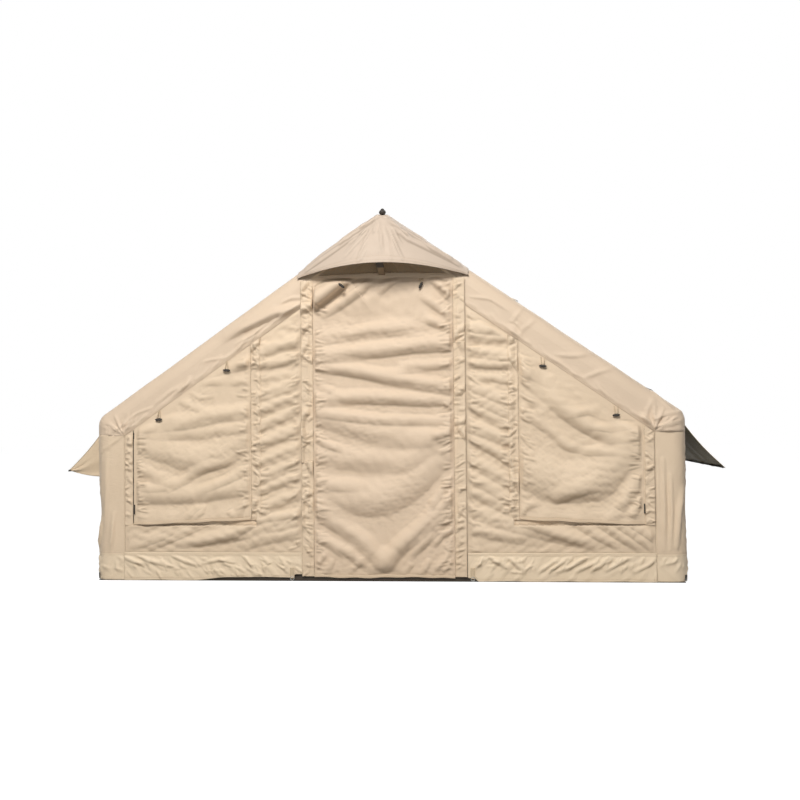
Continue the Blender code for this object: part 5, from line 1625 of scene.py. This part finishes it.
def makeProp():
    # a stiff tape tab with a dark pocket at its tip
    root, tip = np.array(propLooks["root"]), np.array(propLooks["tip"])
    path = [root + (tip - root) * s + np.array([0, 0, 0.002 * math.sin(math.pi * s)])
            for s in np.linspace(0, 1, 14)]
    strap = tape("propStrap", path[:11], 0.044, 0.003, ventTape, across=(1, 0, 0), crown=0.15)
    tipPad = tape("propTip", path[7:], 0.050, 0.0045, blackTape, across=(1, 0, 0), crown=0.15)
    prop = joined("ventProp", [strap, tipPad])
    settle(prop, "vent_prop", "black_plastic", "vent_prop")


makeProp()
print("gable, hood and prop")

# Toggles: a loop of cord with a turned bar
toggleLooks = {"bar": 0.050, "radius": 0.0098, "cord": 0.0032, "drop": 0.062}


def makeToggle(name, node, x, z, tilt, proud, spread=0.008, drop=toggleLooks["drop"], root=0.0018,
               lead=0.002):
    y = frontY - 0.0068 - proud
    low = z - drop
    turn = np.linspace(0, 1, 15)
    wide = turn if x < 0 else 1 - turn * 0.6
    left, right = [[(x + way * (0.0034 + spread * w), y + (root + proud) * (1 - t) ** 2.4 - 0.0035 * t,
                     z - lead + (low - z + lead) * t) for t, w in zip(turn, wide)] for way in (-1, 1)]
    loops = [cordTube(name + part, path, toggleLooks["cord"], paleTape)
             for part, path in (("_a", left), ("_b", right))]
    half, r = toggleLooks["bar"] / 2, toggleLooks["radius"]
    shares = [(0.42, half - 0.0012), (0.62, half - 0.006), (0.82, half * 0.55), (0.98, half * 0.25),
              (0.93, 0.0035)]
    profile = ([(0.001, -half)] + [(r * size, -h) for size, h in shares] + [(r * 0.8, 0.0)]
               + [(r * size, h) for size, h in shares[::-1]] + [(0.001, half)])
    lay = Matrix.Rotation(math.radians(tilt), 4, "Y") @ Matrix.Rotation(math.radians(90), 4, "Y")
    bar = turned(name + "_bar", profile, blackPlastic, sides=16, centre=(x, y - 0.0045, low), matrix=lay)
    settle(joined(name, [bar] + loops), node, "black_plastic", node)


def standOut(points, x, z):
    # how far the cloth stands out round a place
    flat = points.reshape(-1, 3)
    near = np.hypot(flat[:, 0] - x, flat[:, 2] - z) < 0.022
    return float(frontY - flat[near, 1].min())


doorToggles = {"x": 0.263, "z": 2.035, "drop": 0.055}
toggleTilts = {"high_left": 4, "low_left": -2, "high_right": 5, "low_right": -4, "left": 38, "right": -62}
for sideName, side in sideNames:
    for place, x in windowToggles.items():
        z = float(seamHeight(np.array(x)))
        proud = standOut(flapPoints[sideName], side * x, z - toggleLooks["drop"]) + 0.001
        makeToggle(f"toggle_{place}_{sideName}", f"window_toggle_{place}_{sideName}", side * x, z,
                   toggleTilts[f"{place}_{sideName}"], proud)
    x, z, drop = side * doorToggles["x"], doorToggles["z"], doorToggles["drop"]
    makeToggle(f"doorToggle_{sideName}", f"door_toggle_{sideName}", x, z, toggleTilts[sideName],
               standOut(doorPoints, x, z - drop) + 0.004, spread=0.005, drop=drop, root=-0.001, lead=0.007)
print("toggles")


# Zips: teeth along the door and the outer edges of the window flaps, sliders and pulls
zipLooks = {"doorX": 0.4998, "windowX": 1.7255}


def makeTeeth(name, x, y, low, high, apart, finish):
    zs = steps(low, high, 0.05)
    paths = [[(x + offset, y, z) for z in zs] for offset in (-apart, apart)]
    teeth = runAlong(name, paths, toothShape, toothLooks["spacing"], finish, wobble=0.0)
    settle(teeth, "tent", "zip_metal")


def makeZips():
    for sideName, side in sideNames:
        doorX, windowX = side * zipLooks["doorX"], side * zipLooks["windowX"]
        makeTeeth(f"doorTeeth_{sideName}", doorX, frontY + 0.0006, 0.036, 1.945, 0.0016, zipPlastic)
        path = [(side * 0.5025, frontY + 0.0022, z) for z in steps(0.031, 1.947, 0.08)]
        zipTape = tape(f"doorZipTape_{sideName}", path, 0.050, 0.0022, zipTapeFinish)
        settle(zipTape, "tent", "pale_webbing", f"door_zip_{sideName}")
        top = float(seamHeight(np.array(1.725))) - 0.01
        makeTeeth(f"windowTeeth_{sideName}", windowX, frontY - 0.0022, 0.40, top, 0.0013, blackPlastic)
        path = [(windowX, frontY - 0.0006, z) for z in steps(0.39, 1.01, 0.05)]
        settle(tape(f"windowZipTape_{sideName}", path, 0.011, 0.0016, blackTape), "tent", "black_webbing")


makeZips()
pullLooks = {"x": 1.716, "y": frontY - 0.0145, "top": 0.518, "length": 0.056, "knob": 0.4605}
sliderLooks = {"x": 0.503, "z": 0.107, "back": -1.4007, "front": -1.4052}
knobOutline = [(0.001, -0.006), (0.004, -0.0055), (0.0052, -0.002), (0.0052, 0.003), (0.0032, 0.006),
               (0.001, 0.0065)]
sliderOutline = [(-0.0042, -0.0068), (0.0042, -0.0068), (0.0046, 0.0), (0.0058, 0.0066), (0.0018, 0.0068),
                 (0.0, 0.0045), (-0.0018, 0.0068), (-0.0058, 0.0066), (-0.0046, 0.0)]


def makePulls():
    for sideName, side in sideNames:
        x, y = side * pullLooks["x"], pullLooks["y"]
        path = [(x, y + 0.0012 * math.cos(s * 5), pullLooks["top"] - pullLooks["length"] * s)
                for s in np.linspace(0, 1, 12)]
        tab = tape(f"pullTab_{sideName}", path, 0.0095, 0.0026, blackTape)
        knob = turned(f"pullKnob_{sideName}", knobOutline, blackPlastic, 14, (x, y, pullLooks["knob"]))
        whole = joined(f"windowPull_{sideName}", [tab, knob])
        settle(whole, f"window_pull_{sideName}", "black_plastic", f"window_zip_pull_{sideName}")
        # door slider: a shaped body with its short tab
        x, z = side * sliderLooks["x"], sliderLooks["z"]
        rings = [[(x + px * wide, y, z + pz * tall) for px, pz in sliderOutline]
                 for y, wide, tall in ((sliderLooks["back"], 1.0, 1.0), (sliderLooks["front"], 0.86, 0.9))]
        body = fromBmesh(f"slider_{sideName}", loft(rings), zipMetal, False)
        path = [(x, -1.4062 - 0.0006 * s, 0.110 - 0.008 * s) for s in (0, 0.5, 1)]
        grip = tape(f"sliderTab_{sideName}", path, 0.005, 0.0010, zipMetal)
        slider = joined(f"doorSlider_{sideName}", [body, grip])
        settle(slider, f"door_slider_{sideName}", "zip_metal", f"door_zip_slider_{sideName}")


makePulls()
print("zips")

# Canopies over the side windows, and the loose end at the front left
rodEnd = [(0.002, 0.0), (0.0062, 0.002), (0.0066, 0.022), (0.0052, 0.023)]  # radius, and how far from the end
canopyLooks = {"length": 0.425, "angle": 41.5, "front": -1.18, "back": 1.38, "sag": 0.012,
               "hingeX": 2.0005, "hingeZ": 1.0547}


def canopyPlace(side, y, share, lift=0.0):
    angle = math.radians(canopyLooks["angle"])
    out = np.array([side * math.sin(angle), 0, -math.cos(angle)])
    up = np.array([side * math.cos(angle), 0, math.sin(angle)])
    hinge = np.array([side * canopyLooks["hingeX"], 0, canopyLooks["hingeZ"]])
    drop = np.sin(np.pi * share) * canopyLooks["sag"]
    place = hinge + out * (share * canopyLooks["length"])[..., None] + up * (0.0035 - drop + lift)[..., None]
    place[..., 1] = y
    return place


def makeCanopies():
    for sideName, side in sideNames:
        ys = steps(canopyLooks["front"], canopyLooks["back"], 0.014)
        y, share = np.meshgrid(ys, np.linspace(0.009, 1, 34))
        along = 0.0035 * waves(y, share * 0.42, 241 + side, 0.34, lean=1.45, fan=0.12) * share
        scallop = 0.006 * np.abs(np.sin((y - 1.38) * math.pi / 0.64)) * share ** 2
        points = canopyPlace(side, y, share, along - scallop * 0.4)
        # the underside wears the dark painted-shade copy of the canopy cloth
        canopy = clothGrid(f"canopy_{sideName}", points, (canopyTop, canopyUndersideShade), thickness=0.0018,
                           flip=side > 0)
        settle(canopy, f"canopy_{sideName}", "canopy_cloth", f"side_canopy_{sideName}")
        normals, _ = gridNormals(points)
        if normals[10, 10, 2] < 0:
            normals = -normals
        proud = points + normals * stitchLooks["proud"]
        sewing = stitches(f"canopyStitches_{sideName}",
                          [proud[-3], proud[-2], proud[1], proud[2:, 2], proud[2:, -3]], f"canopy_{sideName}")
        # rod with a cap on each end
        low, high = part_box(f"canopy_rod_{sideName}")
        half = (high.y - low.y) / 2
        profile = ([(radius, inward - half) for radius, inward in rodEnd]
                   + [(radius, half - inward) for radius, inward in rodEnd[::-1]])
        rod = turned(f"canopyRod_{sideName}", profile, blackPlastic, 14, (low + high) / 2,
                     Matrix.Rotation(math.radians(90), 4, "X"))
        settle(rod, f"canopy_{sideName}", "black_plastic", f"canopy_rod_{sideName}")


def makeLooseEnd():
    # the left canopy's front end hangs down to the wall
    # the share goes from the canopy's edge down to the loose hem
    reach, share = np.meshgrid(np.linspace(0.03, 0.985, 22), np.linspace(0, 1, 26))
    topLine = canopyPlace(-1, canopyLooks["front"] + 0.001, reach, -0.004)
    foot = np.stack([-2.012 - 0.262 * reach, np.full_like(reach, canopyLooks["front"] - 0.004),
                     0.700 + 0.045 * reach ** 2], -1)
    points = topLine + (foot - topLine) * share[..., None]
    points[..., 1] -= 0.012 * np.sin(np.pi * share) * (1 - reach)
    points[..., 1] -= 0.004 * waves(reach, share, 251, 0.35) * share
    end = clothGrid("canopyEnd_left", points, (canopyTop, canopyTop), flip=True)
    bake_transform(end)


makeCanopies()
makeLooseEnd()
print("canopies")

# Air tubes, rounder than the solids, with welded seams
tubeLooks = {"arch": 0.0945, "eave": 0.0845, "ridge": 0.0745, "inset": 0.105, "foot": 0.0065, "sides": 28}


def tubeAlong(name, path, radius, node):
    path = np.asarray(path, float)
    run = lengthAlong(path)
    dense = np.linspace(0, run[-1], max(24, int(run[-1] / 0.03)))
    line = np.stack([np.interp(dense, run, path[:, k]) for k in range(3)], -1)
    for _ in range(6):
        line[1:-1] = (line[:-2] + 2 * line[1:-1] + line[2:]) / 4
    along = unit(np.gradient(line, axis=0))
    guide = (0.0, 1.0, 0.0) if abs(along[:, 1]).max() < 0.5 else (0.0, 0.0, 1.0)
    first = unit(np.cross(along, guide))
    second = np.cross(along, first)
    turn = np.linspace(0, 2 * math.pi, tubeLooks["sides"] + 1)
    size = radius * (1 - 0.004 * np.abs(np.sin(dense * 40)))[:, None]
    close = np.minimum(dense, run[-1] - dense)
    size = size * np.sqrt(np.clip(1 - (1 - np.clip(close / (radius * 0.5), 0, 1)) ** 2, 0.02, 1))[:, None]
    ridge = 1 - 0.012 * np.exp(-(np.minimum(turn, 2 * math.pi - turn) / 0.12) ** 2)
    points = (line[:, None] + first[:, None] * (np.cos(turn) * ridge * size)[..., None]
              + second[:, None] * (np.sin(turn) * ridge * size)[..., None])
    piece = clothGrid(name, points, (tubeSkin,), thickness=0.0)
    bm = bmesh.new()
    bm.from_mesh(piece.data)
    bmesh.ops.remove_doubles(bm, verts=bm.verts, dist=0.0002)
    bmesh.ops.holes_fill(bm, edges=[e for e in bm.edges if e.is_boundary])
    bmesh.ops.recalc_face_normals(bm, faces=bm.faces)
    bm.to_mesh(piece.data)
    bm.free()
    piece.data.polygons.foreach_set("use_smooth", np.ones(len(piece.data.polygons), bool))
    settle(piece, "tent", "air_tube", node)


def makeTubes():
    inset, foot = tubeLooks["inset"], tubeLooks["foot"]
    post = halfWidth - inset
    crown = float(roofTop(np.array(0.0), inset)) + slope * crownHalf
    eave = crown - slope * post
    for name, y, node in (("archFront", frontY + inset, "arch_front"),
                          ("archRear", backY - inset, "arch_rear")):
        pull = 0.009 if y < 0 else 0.0  # the front left post gives way to the valve
        bend = [(post, y, eave - 0.06), (post - 0.05, y, eave + 0.035), (0.10, y, crown - 0.07)]
        path = ([(post, y, foot)] + bend + [(0.0, y, crown - 0.035)] + [(-x, y, z) for x, y, z in bend[::-1]]
                + [(-post, y, 0.75), (-post + pull, y, 0.50), (-post + pull, y, 0.38), (-post, y, 0.14),
                   (-post, y, foot)])
        tubeAlong(name, path, tubeLooks["arch"], node)
    for name, size, node in (("eaveTube_left", "eave", "eave_tube_left"),
                             ("eaveTube_right", "eave", "eave_tube_right"),
                             ("ridgeTube", "ridge", "ridge_tube")):
        low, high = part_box(node)
        centre = (low + high) / 2
        path = [(centre.x, low.y + 0.001, centre.z), (centre.x, high.y - 0.001, centre.z)]
        tubeAlong(name, path, tubeLooks[size], node)


makeTubes()
print("air tubes")

# Small fittings
def middleOf(node):
    low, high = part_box(node)
    return (low.x + high.x) / 2, (low.y + high.y) / 2


def makeFinial():
    low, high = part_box("ridge_finial")
    profile = [(0.012, 0.0), (0.0165, 0.001), (0.018, 0.004), (0.0205, 0.008), (0.0235, 0.014),
               (0.024, 0.019), (0.0215, 0.026), (0.016, 0.032), (0.012, 0.036), (0.0105, 0.040),
               (0.006, 0.0432), (0.001, high.z - low.z)]
    cap = turned("ridgeFinial", profile, blackPlastic, 10, (*middleOf("ridge_finial"), low.z))
    settle(cap, "tent", "black_plastic", "ridge_finial")


def ring(name, centre, first, second, wire, points=24):
    # a closed ring through the ends of two of its radii
    turns = np.array(fullTurn(points))[:, None]
    path = np.array(centre) + np.array(first) * np.cos(turns) + np.array(second) * np.sin(turns)
    return cordTube(name, path, wire, ringMetal, closed=True)


pegLooks = {"y": -1.4105, "top": 0.092, "length": 0.072, "ring": 0.0125, "tilt": 0.05}
anchorLooks = {"turn": 34, "top": 0.047, "length": 0.034, "ring": 0.011}


def makePegStrap(sideName):
    x, y = middleOf(f"peg_strap_{sideName}")[0], pegLooks["y"]
    path = [(x, y - 0.0015 * math.sin(6 * s), pegLooks["top"] - pegLooks["length"] * s)
            for s in np.linspace(0, 1, 14)]
    strap = tape(f"pegStrapTape_{sideName}", path, 0.030, 0.0026, paleTape)
    size, tilt = pegLooks["ring"], pegLooks["tilt"]
    loop = ring(f"pegRing_{sideName}", (x, y, 0.0205), (size, 0, 0),
                (0, size * math.sin(tilt), size * math.cos(tilt)), 0.0022, 28)
    box = [[(x - half, y - 0.003, top), (x + half, y - 0.003, foot)]
           for half, top, foot in ((0.011, 0.088, 0.070), (-0.011, 0.088, 0.070), (0.012, 0.090, 0.090))]
    whole = joined(f"pegStrap_{sideName}", [strap, loop, stitches(f"pegSewing_{sideName}", box, body=None)])
    settle(whole, "tent", "pale_webbing", f"peg_strap_{sideName}")


def makeAnchor(place, way, sideName, side):
    node = f"corner_anchor_{place}_{sideName}"
    x, y = middleOf(node)
    turn = math.radians(anchorLooks["turn"])
    out = np.array([side * math.cos(turn), way * math.sin(turn), 0])
    wide = np.array([-out[1], out[0], 0])
    path = [np.array([x, y, anchorLooks["top"] - anchorLooks["length"] * s]) + out * 0.0006 * math.sin(5 * s)
            for s in np.linspace(0, 1, 9)]
    flat = tape(node + "_tape", path, 0.032, 0.003, blackTape, across=wide)
    size = anchorLooks["ring"]
    metal = ring(node + "_ring", (x, y, 0.0185), wide * size, (0, 0, size), 0.0019)
    settle(joined(f"cornerAnchor_{place}_{sideName}", [flat, metal]), "tent", "black_webbing", node)


def makeGuyTab(place, finish):
    node = f"guy_tab_{place}"
    x, y = middleOf(node)
    run = np.array([math.cos(pitch), 0, -math.sin(pitch)])
    up = np.array([math.sin(pitch), 0, math.cos(pitch)])
    foot = np.array([x, y, ridgeHeight - slope * x]) + up * 0.003
    path = [foot + run * (-0.046 + 0.085 * s) + up * (0.0035 + 0.010 * s * s) for s in np.linspace(0, 1, 16)]
    strap = tape(node + "_tape", path, 0.028, 0.003, finish, across=(0, 1, 0))
    metal = ring(node + "_ring", foot + run * 0.041 + up * 0.013, run * 0.009, (0, 0.011, 0), 0.0019)
    settle(joined(f"guyTab_{place}", [strap, metal]), "tent", "black_webbing", node)


makeFinial()
for sideName, side in sideNames:
    makePegStrap(sideName)
    makeAnchor("front", -1, sideName, side)
    makeAnchor("rear", 1, sideName, side)
makeGuyTab("high", paleTape)
makeGuyTab("low", blackTape)
for name in ("inflation_valve", "valve_cap"):
    nodes[name].data.materials.clear()
    nodes[name].data.materials.append(blackPlastic)
print("fittings")
